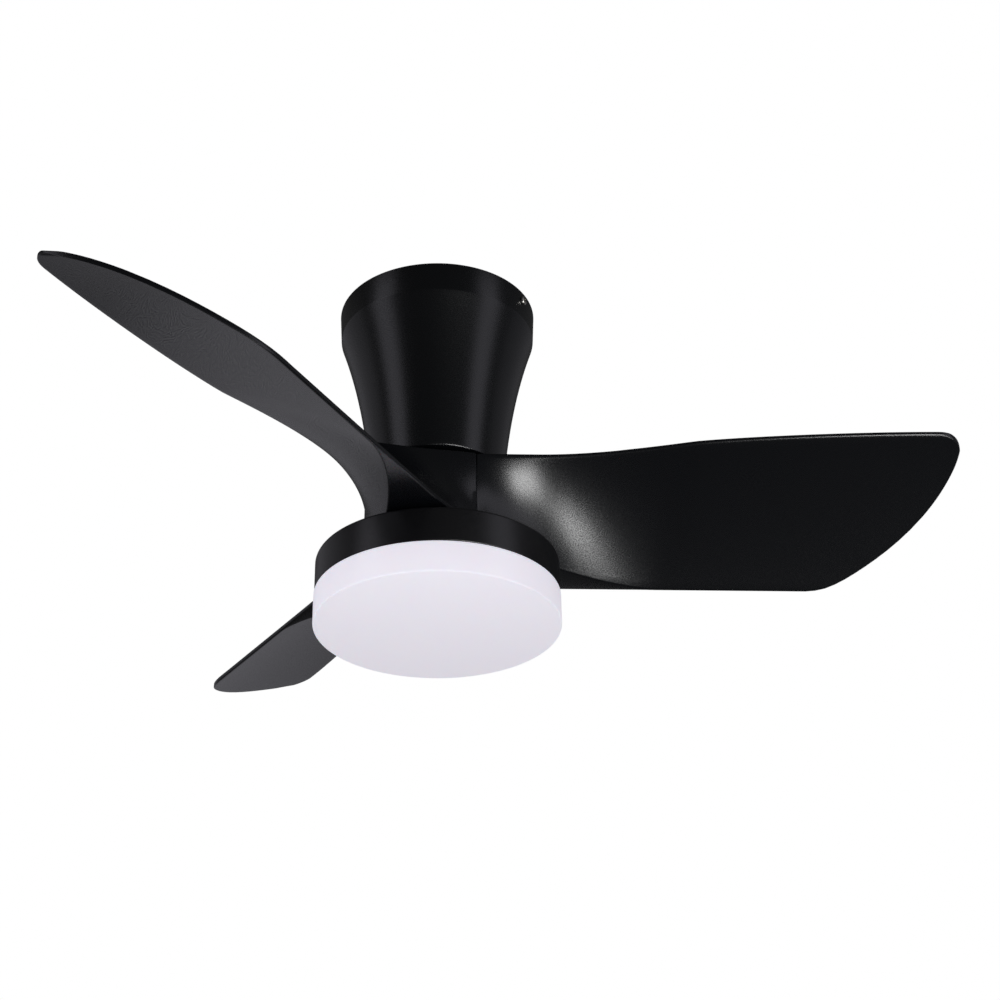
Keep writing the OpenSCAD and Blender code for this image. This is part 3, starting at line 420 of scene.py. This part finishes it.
def ring_tree():
    """Sets copies of a piece round the fan's axis, as many as asked for."""
    tree = bpy.data.node_groups.new("ring of fixings", "GeometryNodeTree")
    for name, kind in (("Piece", "NodeSocketObject"), ("Count", "NodeSocketInt"),
            ("Ring radius", "NodeSocketFloat"), ("First angle", "NodeSocketFloat"),
            ("Height", "NodeSocketFloat"), ("Finish", "NodeSocketMaterial")):
        tree.interface.new_socket(name=name, in_out="INPUT", socket_type=kind)
    tree.interface.new_socket(name="Geometry", in_out="OUTPUT", socket_type="NodeSocketGeometry")
    given = add(tree, "NodeGroupInput").outputs
    step = add(tree, "ShaderNodeMath", {0: math.tau, 1: given["Count"]}, operation="DIVIDE")
    place = add(tree, "GeometryNodeInputIndex")
    angle = add(tree, "ShaderNodeMath",
        {0: place.outputs[0], 1: step.outputs[0], 2: given["First angle"]}, operation="MULTIPLY_ADD")
    turn = add(tree, "ShaderNodeCombineXYZ", {"Z": angle.outputs[0]})
    along_x = add(tree, "ShaderNodeCombineXYZ", {"X": given["Ring radius"], "Z": given["Height"]})
    spot = add(tree, "ShaderNodeVectorRotate",
        {"Vector": along_x.outputs[0], "Rotation": turn.outputs[0]}, rotation_type="EULER_XYZ")
    points = add(tree, "GeometryNodePoints", {"Count": given["Count"], "Position": spot.outputs[0]})
    piece = add(tree, "GeometryNodeObjectInfo", {"Object": given["Piece"]})
    copies = add(tree, "GeometryNodeInstanceOnPoints", {"Points": points.outputs[0],
        "Instance": piece.outputs["Geometry"], "Rotation": turn.outputs[0]})
    solid = add(tree, "GeometryNodeRealizeInstances", {0: copies.outputs[0]})
    dressed = add(tree, "GeometryNodeSetMaterial",
        {"Geometry": solid.outputs[0], "Material": given["Finish"]})
    add(tree, "NodeGroupOutput", {"Geometry": dressed.outputs[0]})
    return tree


fixings = ring_tree()


def ring_of(mesh, material, count, radius, height, first=0.0):
    """Mesh of copies of a piece on a ring round the fan's axis."""
    piece = link("template", mesh)
    field = link("field", bpy.data.meshes.new("field"))
    step = field.modifiers.new("ring", "NODES")
    step.node_group = fixings
    values = {"Piece": piece, "Count": count, "Ring radius": radius, "First angle": first,
        "Height": height, "Finish": material}
    for item in fixings.interface.items_tree:
        if item.in_out == "INPUT":
            step[item.identifier] = values[item.name]
    depsgraph = bpy.context.evaluated_depsgraph_get()
    ring = bpy.data.meshes.new_from_object(field.evaluated_get(depsgraph))
    bpy.data.objects.remove(field)
    bpy.data.objects.remove(piece)
    return ring


def join(name, meshes):
    """One mesh from several that stay apart."""
    shape = bmesh.new()
    for mesh in meshes:
        shape.from_mesh(mesh)
    return baked(name, shape)


def set_screws(name, node, body, meshes, material=nickel_plated):
    """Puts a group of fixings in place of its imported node."""
    mesh = join(name, meshes)
    smooth(mesh)
    piece = link(name, mesh, material)
    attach(piece, body)
    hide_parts(node)


def turned_up(mesh, axis, angle):
    """The mesh, turned about an axis by an angle in degrees."""
    mesh.transform(Matrix.Rotation(math.radians(angle), 4, axis))
    return mesh


# shank radius, length, head radius, head height
SIDE_SCREW = (2 * MM, 12 * MM, 4 * MM, 2.4 * MM)
side_seat_r = screw_high[0] - SIDE_SCREW[3]
side_screw = turned_up(screw_mesh(*SIDE_SCREW), "Y", 90)
set_screws("canopy_side_screws", "canopy_screws", "fixed_frame",
    [ring_of(side_screw, nickel_plated, 2, side_seat_r, screw_z)])
dress(nickel_plated, "receiver_screws")


# ---- Motor: shaft, bearings and stator ----
# A hollow steel shaft stands still and carries two ball bearings and the stator: stacked electrical steel
# with twelve teeth, nylon insulators and enamelled copper coils.

# ground steel: near mirror, drawn out slightly round the axis
ground_steel = finish("ground bearing steel", "D2D3D6", 0.1, 0.5, 0.002,
    metallic=1.0, spread=0.03, streak=(0.3, 0.3, 5))
dress(ground_steel, "upper_inner_race", "lower_inner_race", "upper_outer_race", "lower_outer_race",
    "upper_balls", "lower_balls")
dress(nickel_plated, "motor_shaft", "shaft_spacers")
dress(black_phosphate, "shaft_circlip")
# pressed brass: warmer and duller than the races
pressed_brass = finish("pressed brass", "B78D45", 0.3, 0.8, 0.01, metallic=1.0)
dress(pressed_brass, "upper_cage", "lower_cage")
# stacked laminations: half-millimetre sheets, so the grain lies flat in layers
laminations = finish("electrical steel laminations", "5F636B", 0.4, 0.5, 0.05,
    metallic=1.0, streak=(0.05, 0.05, 1))
dress(laminations, "stator_core")
dress(moulded_nylon, "stator_insulators")
# enamelled copper wire: orange-brown metal under clear varnish, ridged turn by turn
enamelled_copper = finish("enamelled copper wire", "A9551F", 0.22, 0.7, 0.12,
    metallic=1.0, streak=(0.2, 0.2, 1), tone="8F4316")
enamelled_copper.node_tree.nodes["Principled BSDF"].inputs["Coat Weight"].default_value = 0.6
dress(enamelled_copper, "stator_windings")


# ---- Motor: rotor and shells ----
# The rotor is a steel ring with fourteen ferrite magnets. Two die-cast aluminium shells close round it,
# held by six screws, and turn with it on the bearings' outer races.

# as-cast aluminium: pale, dull and slightly pebbled
cast_aluminium = finish("die-cast aluminium", "A3A6AA", 0.46, 1.4, 0.06,
    metallic=1.0, spread=0.08, tone="989BA0")
dress(cast_aluminium, "motor_top_shell", "motor_bottom_shell")
dress(black_phosphate, "rotor_yoke")
# sintered ferrite: charcoal grey, ground smooth but still chalky
ferrite = finish("ground ferrite", "303338", 0.48, 0.6, 0.02, tone="282B2F")
dress(ferrite, "rotor_magnets")
dress(nickel_plated, "shell_screws")


# ---- Blades ----
# Three blades moulded in charcoal ABS, each in one piece with its hollow root, which takes the hub's full
# height and a third of its girth. Steep walls leave the root and flatten out to a pitched, slightly
# cambered plate.
BLADE_TURN = math.radians(30.7)
HUB_R = 64.2 * MM
MOTOR_BORE = 59.5 * MM
SWEEP_R = 457 * MM
LEAD_REACH = 99.4 * MM
TRAIL_REACH = 53.5 * MM
EDGE_H = 3.6 * MM
EDGE_FLAT = 2.4 * MM
CAMBER = 4.9 * MM
TIP_ROUND = 21 * MM
WALL_LEAN = 0.7 * MM
ROOT_WALL = 3.2 * MM
SEAM_GAP = 0.4 * MM
OWN_SEAM = math.radians(-58.4)
NEXT_SEAM = OWN_SEAM + math.tau / 3
INNER_X = 20 * MM
RAKE_EASE = 24 * MM
PLATE_POINTS = 20
FINE = 48
blade_low, blade_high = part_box("blade_1")
hub_bottom = blade_low[2]
hub_top = blade_high[2]
seam_x = HUB_R * math.cos(OWN_SEAM)
root_lead = -HUB_R * math.sin(OWN_SEAM)
root_trail = HUB_R * math.sin(NEXT_SEAM)
tip_lead = LEAD_REACH - TIP_ROUND
tip_x = math.sqrt(SWEEP_R ** 2 - tip_lead ** 2)
bend_x = 0.19 * tip_x
upper_thin_x = 0.395 * tip_x
thin_x = 0.46 * tip_x
mid_x = 0.495 * tip_x
rake_x = 0.775 * tip_x
mid_lead = 0.803 * LEAD_REACH


def mix(a, b, t):
    """The value a share t of the way from a to b."""
    return a + (b - a) * t


def bound(value):
    """The value, held between 0 and 1."""
    return min(1.0, max(0.0, value))


def along(line, x):
    """Height of a line of (x, y) points at x, held at its ends."""
    if x <= line[0][0]:
        return line[0][1]
    for (x0, y0), (x1, y1) in zip(line, line[1:]):
        if x <= x1:
            return mix(y0, y1, (x - x0) / (x1 - x0))
    return line[-1][1]


# seen from above: the front edge, the feet of the steep walls under and over the plate, and the raked tip
lead_line = [Vector((INNER_X, -root_lead))] + bezier(
    [(bend_x, -root_lead), (mix(bend_x, mid_x, 0.33), -root_lead),
    (mix(bend_x, mid_x, 0.65), -mix(root_lead, mid_lead, 0.45)), (mid_x, -mid_lead)], FINE) + bezier(
    [(mid_x, -mid_lead), (mix(mid_x, tip_x, 0.23), -mix(mid_lead, LEAD_REACH, 0.52)),
    (mix(mid_x, tip_x, 0.65), 0.8 * MM - LEAD_REACH), (tip_x - TIP_ROUND, -LEAD_REACH)], FINE)[1:]
under_line = bezier([(seam_x, 1.4 * MM - root_lead), (seam_x + 27 * MM, 36 * MM - root_lead),
    (mix(seam_x, thin_x, 0.65), TRAIL_REACH - 1.7 * MM), (thin_x, TRAIL_REACH - 1.7 * MM)], FINE)
upper_line = bezier([(seam_x - 1 * MM, root_trail), (seam_x + 42 * MM, root_trail - 55 * MM),
    (mix(seam_x, upper_thin_x, 0.6), 2.5 * MM - root_lead), (upper_thin_x, -root_lead - 12 * MM)], FINE)
rake_line = bezier([(rake_x, TRAIL_REACH), (mix(rake_x, tip_x, 0.42), TRAIL_REACH - 23 * MM),
    (mix(rake_x, tip_x, 0.93), -10 * MM), (tip_x, -tip_lead)], FINE)


def rear_edge(x, full_trail):
    """The rear edge, with the corner at the start of the rake eased into a long curve."""
    if x < rake_x - RAKE_EASE:
        return full_trail
    if x > rake_x + RAKE_EASE:
        return along(rake_line, x)
    t = (x - rake_x + RAKE_EASE) / (2 * RAKE_EASE)
    end = along(rake_line, rake_x + RAKE_EASE)
    step = 0.1 * RAKE_EASE
    slope = (along(rake_line, rake_x + RAKE_EASE + step) - end) / step
    return full_trail * (1 - t) ** 2 + 2 * t * (1 - t) * (end - slope * RAKE_EASE) + end * t * t


def key_places(x):
    """Across the blade at x: front edge, rear edge, foot of the wall above, foot of the wall below."""
    lead = -LEAD_REACH if x > tip_x - TIP_ROUND else along(lead_line, x)
    trail = mix(root_trail, TRAIL_REACH, bound((x - seam_x) / (bend_x - seam_x / 2)))
    upper = lead + EDGE_FLAT
    if x <= upper_thin_x:
        upper = max(min(along(upper_line, x), trail - WALL_LEAN), upper)
    under = min(along(under_line, x), TRAIL_REACH - EDGE_FLAT)
    return lead, trail, upper, under


def blade_section(x):
    """One closed cross-section of a blade, at a distance x out from the axis."""
    full_lead, full_trail, upper, under = key_places(x)
    past = x - tip_x + TIP_ROUND
    lead = -tip_lead - math.sqrt(max(0, TIP_ROUND ** 2 - past ** 2)) if past > 0 else full_lead
    trail = rear_edge(x, full_trail)
    sag = CAMBER * bound((x - seam_x) / (thin_x - seam_x))
    # the plate thins to an edge over the last millimetres before the tip
    thin = math.sqrt(max(0.01, 1 - max(0, 1 - (tip_x - x) / EDGE_FLAT) ** 2))

    def upper_z(y):
        v = bound((y - upper) / (full_trail - upper))
        return mix(hub_top, hub_bottom + EDGE_H, v) + sag * 4 * v * (1 - v)

    def under_z(y):
        v = bound((under - y) / (under - full_lead))
        return mix(hub_bottom, hub_top - EDGE_H, v) + sag * 4 * v * (1 - v)

    start = max(upper, lead + EDGE_FLAT)
    end = min(under, trail - EDGE_FLAT)
    shares = [i / PLATE_POINTS for i in range(PLATE_POINTS + 1)]
    top = [(y, upper_z(y)) for y in (mix(start, trail, share) for share in shares)]
    low = [(y, under_z(y)) for y in (mix(end, lead, share) for share in shares)]
    corners = [(lead, upper_z(lead))] + top + [(trail, under_z(trail))] + low
    inside = [0] * (PLATE_POINTS - 1)
    radii = [1.7 * MM, 2.2 * MM] + inside + [1.7 * MM, 1.7 * MM, 1.5 * MM] + inside + [1.7 * MM]
    ring = rounded(corners, radii, steps=4)
    centre = [(upper_z(y) + under_z(y)) / 2 for y, _ in ring]
    return [Vector((x, y, mix(c, z, thin))) for (y, z), c in zip(ring, centre)]


def loft(name, rings):
    """Closed mesh through rings with the same number of points, each end closed round its middle."""
    shape = bmesh.new()
    rows = [[shape.verts.new(p) for p in ring] for ring in rings]
    count = len(rows[0])
    for row, nxt in zip(rows, rows[1:]):
        for k in range(count):
            shape.faces.new((row[k], nxt[k], nxt[(k + 1) % count], row[(k + 1) % count]))
    for row in (rows[0], rows[-1]):
        hub = shape.verts.new(sum((v.co for v in row), Vector()) / count)
        for k in range(count):
            shape.faces.new((row[k], row[(k + 1) % count], hub))
    bmesh.ops.recalc_face_normals(shape, faces=shape.faces)
    return baked(name, shape)


def swept(name, outline, first, last, steps):
    """A (radius, height) outline carried round the fan's axis from one angle to another."""
    angles = [mix(first, last, i / steps) for i in range(steps + 1)]
    return loft(name, [[Vector((r * math.cos(angle), r * math.sin(angle), z)) for r, z in outline]
        for angle in angles])


def wedge(from_angle, to_angle, reach, low, high, shift):
    """A three-cornered prism between two directions, its point moved out by a shift."""
    half_way = (from_angle + to_angle) / 2
    tip = Vector((shift * math.cos(half_way), shift * math.sin(half_way)))
    corners = [tip, tip + reach * Vector((math.cos(from_angle), math.sin(from_angle))),
        tip + reach * Vector((math.cos(to_angle), math.sin(to_angle)))]
    points = [(p.x, p.y, z) for z in (low, high) for p in corners]
    mesh = bpy.data.meshes.new("wedge")
    mesh.from_pydata(points, [], [(2, 1, 0), (3, 4, 5), (0, 1, 4, 3), (1, 2, 5, 4), (2, 0, 3, 5)])
    return mesh


WALL_SPARE = 1 * MM
HOLLOW_ROUND = 1.5 * MM


def blade_hollow(x):
    """The hollow of the root at x: the outer section taken in by the wall."""
    lead, trail, upper, under = key_places(x)
    rise = hub_top - hub_bottom - EDGE_H
    # a slanting wall takes more of the width than its own thickness
    lead_wall = ROOT_WALL * math.hypot(under - lead, rise) / rise + WALL_SPARE
    trail_wall = ROOT_WALL * math.hypot(trail - upper, rise) / rise + WALL_SPARE
    corners = [(lead + lead_wall, hub_top - ROOT_WALL), (upper - trail_wall, hub_top - ROOT_WALL),
        (trail - trail_wall, hub_bottom + ROOT_WALL), (under + lead_wall, hub_bottom + ROOT_WALL)]
    return [Vector((x, y, z)) for y, z in rounded(corners, [HOLLOW_ROUND] * 4, steps=3)]


ROOT_STEPS, PLATE_STEPS, TIP_STEPS, HOLLOW_STEPS = 24, 36, 18, 12


def blade_mesh():
    """The blade along +X, cut at its seams, bored for the motor and hollowed at its root."""
    root_end = 0.27 * tip_x
    hollow_end = 0.245 * tip_x
    tip_start = tip_x - TIP_ROUND
    last_x = tip_x - 0.05 * MM
    stations = [mix(INNER_X, root_end, i / ROOT_STEPS) for i in range(ROOT_STEPS)]
    stations += [mix(root_end, tip_start, i / PLATE_STEPS) for i in range(PLATE_STEPS)]
    stations += [mix(tip_start, last_x, math.sin(math.pi / 2 * i / TIP_STEPS))
        for i in range(TIP_STEPS + 1)]
    body = loft("blade", [blade_section(x) for x in stations])
    height = hub_top - hub_bottom
    seam_shift = SEAM_GAP / 2 / math.sin(math.pi / 3)
    third = wedge(OWN_SEAM, NEXT_SEAM, 4 * SWEEP_R, hub_bottom - height, hub_top + height, seam_shift)
    body = combine(body, third, "INTERSECT")
    bore = rod_mesh("bore", MOTOR_BORE, 3 * height, sides=FINE_SIDES)
    bore.transform(Matrix.Translation((0, 0, hub_bottom - height)))
    body = combine(body, bore, "DIFFERENCE")
    hollow_stations = [mix(INNER_X / 2, hollow_end, i / HOLLOW_STEPS) for i in range(HOLLOW_STEPS + 1)]
    hollow = loft("hollow", [blade_hollow(x) for x in hollow_stations])
    return combine(body, hollow, "DIFFERENCE")


FLANGE_IN_R = 40.25 * MM
FLANGE_OUT_R = MOTOR_BORE + 0.6 * MM
FLANGE_STEPS = 48
BLADE_HOLE_R = 2.6 * MM
BLADE_SCREW_R = 49.25 * MM
BLADE_SCREW_TURNS = [math.radians(a) for a in (-36, 1.6, 39)]


def flange_mesh():
    """The flange that reaches in under the motor, with its three screw holes."""
    first, last = OWN_SEAM + math.radians(6), NEXT_SEAM - math.radians(3)
    outline = rounded([(FLANGE_IN_R, hub_bottom), (FLANGE_OUT_R, hub_bottom),
        (FLANGE_OUT_R, hub_bottom + ROOT_WALL), (FLANGE_IN_R, hub_bottom + ROOT_WALL)],
        [0.6 * MM, 0, 0, 0.6 * MM], steps=3)
    mesh = swept("flange", outline, first, last, FLANGE_STEPS)
    for angle in BLADE_SCREW_TURNS:
        hole = rod_mesh("hole", BLADE_HOLE_R, 4 * ROOT_WALL)
        hole.transform(Matrix.Translation((BLADE_SCREW_R * math.cos(angle),
            BLADE_SCREW_R * math.sin(angle), hub_bottom - ROOT_WALL)))
        mesh = combine(mesh, hole, "DIFFERENCE")
    return mesh


# moulded ABS, a little glossier and deeper in grain than the canopy: black face on, grey at a slant
moulded_charcoal = finish("grained charcoal ABS", "07080B", 0.27, 0.9, 0.06, spread=0.05)
blade_base = combine(blade_mesh(), flange_mesh(), "UNION")
for index in range(3):
    one = blade_base.copy()
    one.name = f"blade_{index + 1}_moulding"
    one.transform(Matrix.Rotation(BLADE_TURN + index * math.tau / 3, 4, "Z"))
    smooth(one, sharp_angle=28)
    blade = link(f"blade_{index + 1}_moulding", one, moulded_charcoal)
    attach(blade, "rotor")
    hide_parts(f"blade_{index + 1}")

dress(moulded_charcoal, "hub_cap")
# shank radius, length, head radius, head height
FLANGE_SCREW = (2.5 * MM, 11 * MM, 4.6 * MM, 2.6 * MM)
flange_screw = turned_up(screw_mesh(*FLANGE_SCREW), "X", 180)
set_screws("flange_screws", "blade_screws", "rotor",
    [ring_of(flange_screw.copy(), nickel_plated, 3, BLADE_SCREW_R, hub_bottom, BLADE_TURN + angle)
    for angle in BLADE_SCREW_TURNS])


# ---- Light pan ----
# A shallow round pan, spun and pressed in steel and powder coated in satin black. It is clamped under the
# shaft, and three tabs on its wall hold the diffuser.
PAN_WALL = 2 * MM
PAN_TOP = 2.5 * MM
SHAFT_BORE = 8.55 * MM
NECK_GAP = 3 * MM
TAB_GAP = 0.3 * MM
TAB_ROOT = 1 * MM
TAB_T = 2.4 * MM
TAB_RISE = 3.4 * MM
STOP_STEP = 0.5 * MM
LUG_ARC = math.radians(14)
LUG_T = 2.5 * MM
pan_low, pan_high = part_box("light_pan")
pan_r = pan_high[0]
pan_bore = pan_r - PAN_WALL
neck_r = pan_bore - NECK_GAP


def arc_block(r1, r2, low, height, first, last):
    """A block bent round the axis, between two radii and two angles."""
    outline = rounded([(r1, low), (r2, low), (r2, low + height), (r1, low + height)],
        [0.3 * MM, 0, 0, 0.3 * MM], steps=2)
    return swept("block", outline, first, last, steps=12)


pan_outline = [(SHAFT_BORE, pan_high[2]), (pan_r, pan_high[2]), (pan_r, pan_low[2]), (pan_bore, pan_low[2]),
    (pan_bore, pan_high[2] - PAN_TOP), (SHAFT_BORE, pan_high[2] - PAN_TOP)]
pan_radii = [0.4 * MM, 2.6 * MM, 1.4 * MM, 0.5 * MM, 1.5 * MM, 0.4 * MM]
pan_mesh = turned("light_pan_shell", rounded(pan_outline, pan_radii, steps=8))
tab_low = pan_low[2] + TAB_RISE - TAB_T
tab_in_r = neck_r + TAB_GAP
tab_out_r = pan_bore + TAB_ROOT
tab_margin, stop_from, stop_to = math.radians(2), math.radians(1), math.radians(2.5)
for third in range(3):
    lug_start = third * math.tau / 3 - LUG_ARC / 2
    lug_end = third * math.tau / 3 + LUG_ARC / 2
    tab = arc_block(tab_in_r, tab_out_r, tab_low, TAB_T, lug_start - tab_margin, lug_end + tab_margin)
    stop = arc_block(tab_in_r, tab_out_r, tab_low + STOP_STEP, TAB_T + LUG_T - STOP_STEP,
        lug_end + stop_from, lug_end + stop_to)
    pan_mesh = combine(combine(pan_mesh, tab, "UNION"), stop, "UNION")
smooth(pan_mesh, sharp_angle=28)
# powder coat: satin, with the slight orange peel of a baked coat
powder_black = finish("satin black powder coat", "08080A", 0.34, 1.6, 0.05, spread=0.04)
light_pan_shell = link("light_pan_shell", pan_mesh, powder_black)
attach(light_pan_shell, "fixed_frame")
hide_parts("light_pan")

dress(zinc_plated, "light_plate")
dress(nickel_plated, "light_washer", "light_nut", "plate_screws")


# ---- LED driver and board ----
# The light's own power supply sits in a polycarbonate box under the pan. Brass posts hold an aluminium
# board with sixty white LEDs in three rings, each a small oblong of yellow phosphor.

# moulded polycarbonate: clean white with a soft sheen
polycarbonate = finish("white polycarbonate", "E4E4E2", 0.34, 1.2, 0.01, tone="DFDFDD")
dress(polycarbonate, "led_driver")
dress(nickel_plated, "driver_screws", "led_screws")
dress(turned_brass, "led_standoffs")
# white reflective resist: flat and bright
white_resist = finish("white solder resist", "EDEDEB", 0.42, 1.0, 0.01, tone="E8E8E6")
dress(white_resist, "led_board")
# phosphor in silicone: lemon yellow, slightly glossy
phosphor = finish("yellow phosphor", "EBD558", 0.3, 0.4, 0.01, tone="E4CC4A")
CHIP_W, CHIP_D, CHIP_H = 3.5 * MM, 2.8 * MM, 0.8 * MM
# chips in the ring, share of the board's radius
CHIP_RINGS = ((12, 0.3), (20, 0.52), (28, 0.74))
board_low, board_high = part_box("led_board")
board_r = board_high[0]


def chip_mesh():
    """One LED: an oblong housing with a sunk window, hanging from the board."""
    outline = [(-CHIP_W / 2, -CHIP_D / 2), (CHIP_W / 2, -CHIP_D / 2), (CHIP_W / 2, CHIP_D / 2),
        (-CHIP_W / 2, CHIP_D / 2)]
    # share of the full outline and of the height at the board, side, bevel, rim and window
    levels = ((1, 0), (1, 0.85), (0.94, 1), (0.8, 1), (0.7, 0.8))
    return loft("chip", [[Vector((x * grow, y * grow, -drop * CHIP_H)) for x, y in outline]
        for grow, drop in levels])


led_rings = [ring_of(chip_mesh(), phosphor, count, share * board_r, board_low[2])
    for count, share in CHIP_RINGS]
led_mesh = join("led_array", led_rings)
led_array = link("led_array", led_mesh, phosphor)
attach(led_array, "fixed_frame")
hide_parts("led_chips")


# ---- Diffuser ----
# A shallow bowl moulded in opal acrylic. It spreads the light of the LED board, and twists off the pan's
# tabs by three lugs on its neck.
BOWL_WALL = 2.4 * MM
BOWL_ROUND = 1.5 * MM
DOME = 3 * MM
DOME_STEPS = 24
BEND_STEPS = 12
RIM_GAP = 0.3 * MM
SHOULDER = 2 * MM
LUG_ROOT = 1 * MM
LUG_GAP = 0.6 * MM
# strength of the bowl's painted glow, which stands in for the light on it
OPAL_PAINTED_GLOW = 0.65
bowl_low, bowl_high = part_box("diffuser")
bowl_r = bowl_high[0]
bowl_top = pan_low[2] - RIM_GAP
lug_low = pan_low[2] + TAB_RISE + RIM_GAP


def bowl_line(inset):
    """Half outline of the bowl, middle of the bottom to the top of its corner."""
    r = bowl_r - inset
    z = bowl_low[2] + DOME + inset
    corner = max(BOWL_ROUND - inset, 0.5 * MM)
    flat = r - corner
    dome = [(flat * i / DOME_STEPS, z - DOME * (1 - (i / DOME_STEPS) ** 2)) for i in range(DOME_STEPS + 1)]
    turns = [math.pi / 2 * i / BEND_STEPS for i in range(1, BEND_STEPS + 1)]
    bend = [(flat + corner * math.sin(turn), z + corner - corner * math.cos(turn)) for turn in turns]
    return [Vector(p) for p in dome + bend]


outside = bowl_line(0)
inside_line = bowl_line(BOWL_WALL)
shoulder_z = bowl_top - SHOULDER
collar = rounded([outside[-1], (bowl_r, bowl_top), (neck_r, bowl_top), (neck_r, lug_low + LUG_T),
    (neck_r - BOWL_WALL, lug_low + LUG_T), (neck_r - BOWL_WALL, shoulder_z),
    (bowl_r - BOWL_WALL, shoulder_z - BOWL_WALL), inside_line[-1]],
    [0, 1.2 * MM, 0.5 * MM, 0.6 * MM, 0.6 * MM, 0.8 * MM, 0.8 * MM, 0])
bowl_mesh = turned("diffuser_bowl", outside[:-1] + collar + inside_line[-2::-1], sides=FINE_SIDES)
for third in range(3):
    turn = third * math.tau / 3
    lug = arc_block(neck_r - LUG_ROOT, pan_bore - LUG_GAP, lug_low, LUG_T,
        turn - LUG_ARC / 2, turn + LUG_ARC / 2)
    bowl_mesh = combine(bowl_mesh, lug, "UNION")
smooth(bowl_mesh, sharp_angle=28)
# opal acrylic: an even, faintly lilac white with a soft satin gloss, and a painted glow: its emission brightens
# it evenly in place of lamp light, as the LEDs behind it give none
opal = finish("opal acrylic", "EBEAF2", 0.3, 2.0, 0.004, spread=0.03, tone="EEEDF4")
opal_shader = opal.node_tree.nodes["Principled BSDF"]
opal_shader.inputs["IOR"].default_value = 1.49
opal_shader.inputs["Subsurface Weight"].default_value = 0.3
opal_shader.inputs["Subsurface Scale"].default_value = 3 * MM
# painted glow: this emission colour and strength light the bowl evenly, in place of the light that falls on it
opal_shader.inputs["Emission Color"].default_value = hex_colour("E9E9F3")
opal_shader.inputs["Emission Strength"].default_value = OPAL_PAINTED_GLOW
diffuser_bowl = link("diffuser_bowl", bowl_mesh, opal)
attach(diffuser_bowl, "diffuser")
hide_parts("diffuser")
# the two low boxes are flagged off the white bowl, which would burn out before the black pieces show, and
# the bowl's own box lights nothing else
flagged_off = bpy.data.collections.new("flagged off")
flagged_off.objects.link(diffuser_bowl)
flagged_off.collection_objects[0].light_linking.link_state = "EXCLUDE"
boxes["low_box"].light_linking.receiver_collection = flagged_off
boxes["floor_box"].light_linking.receiver_collection = flagged_off
only_bowl = bpy.data.collections.new("only the bowl")
only_bowl.objects.link(diffuser_bowl)
boxes["bowl_box"].light_linking.receiver_collection = only_bowl
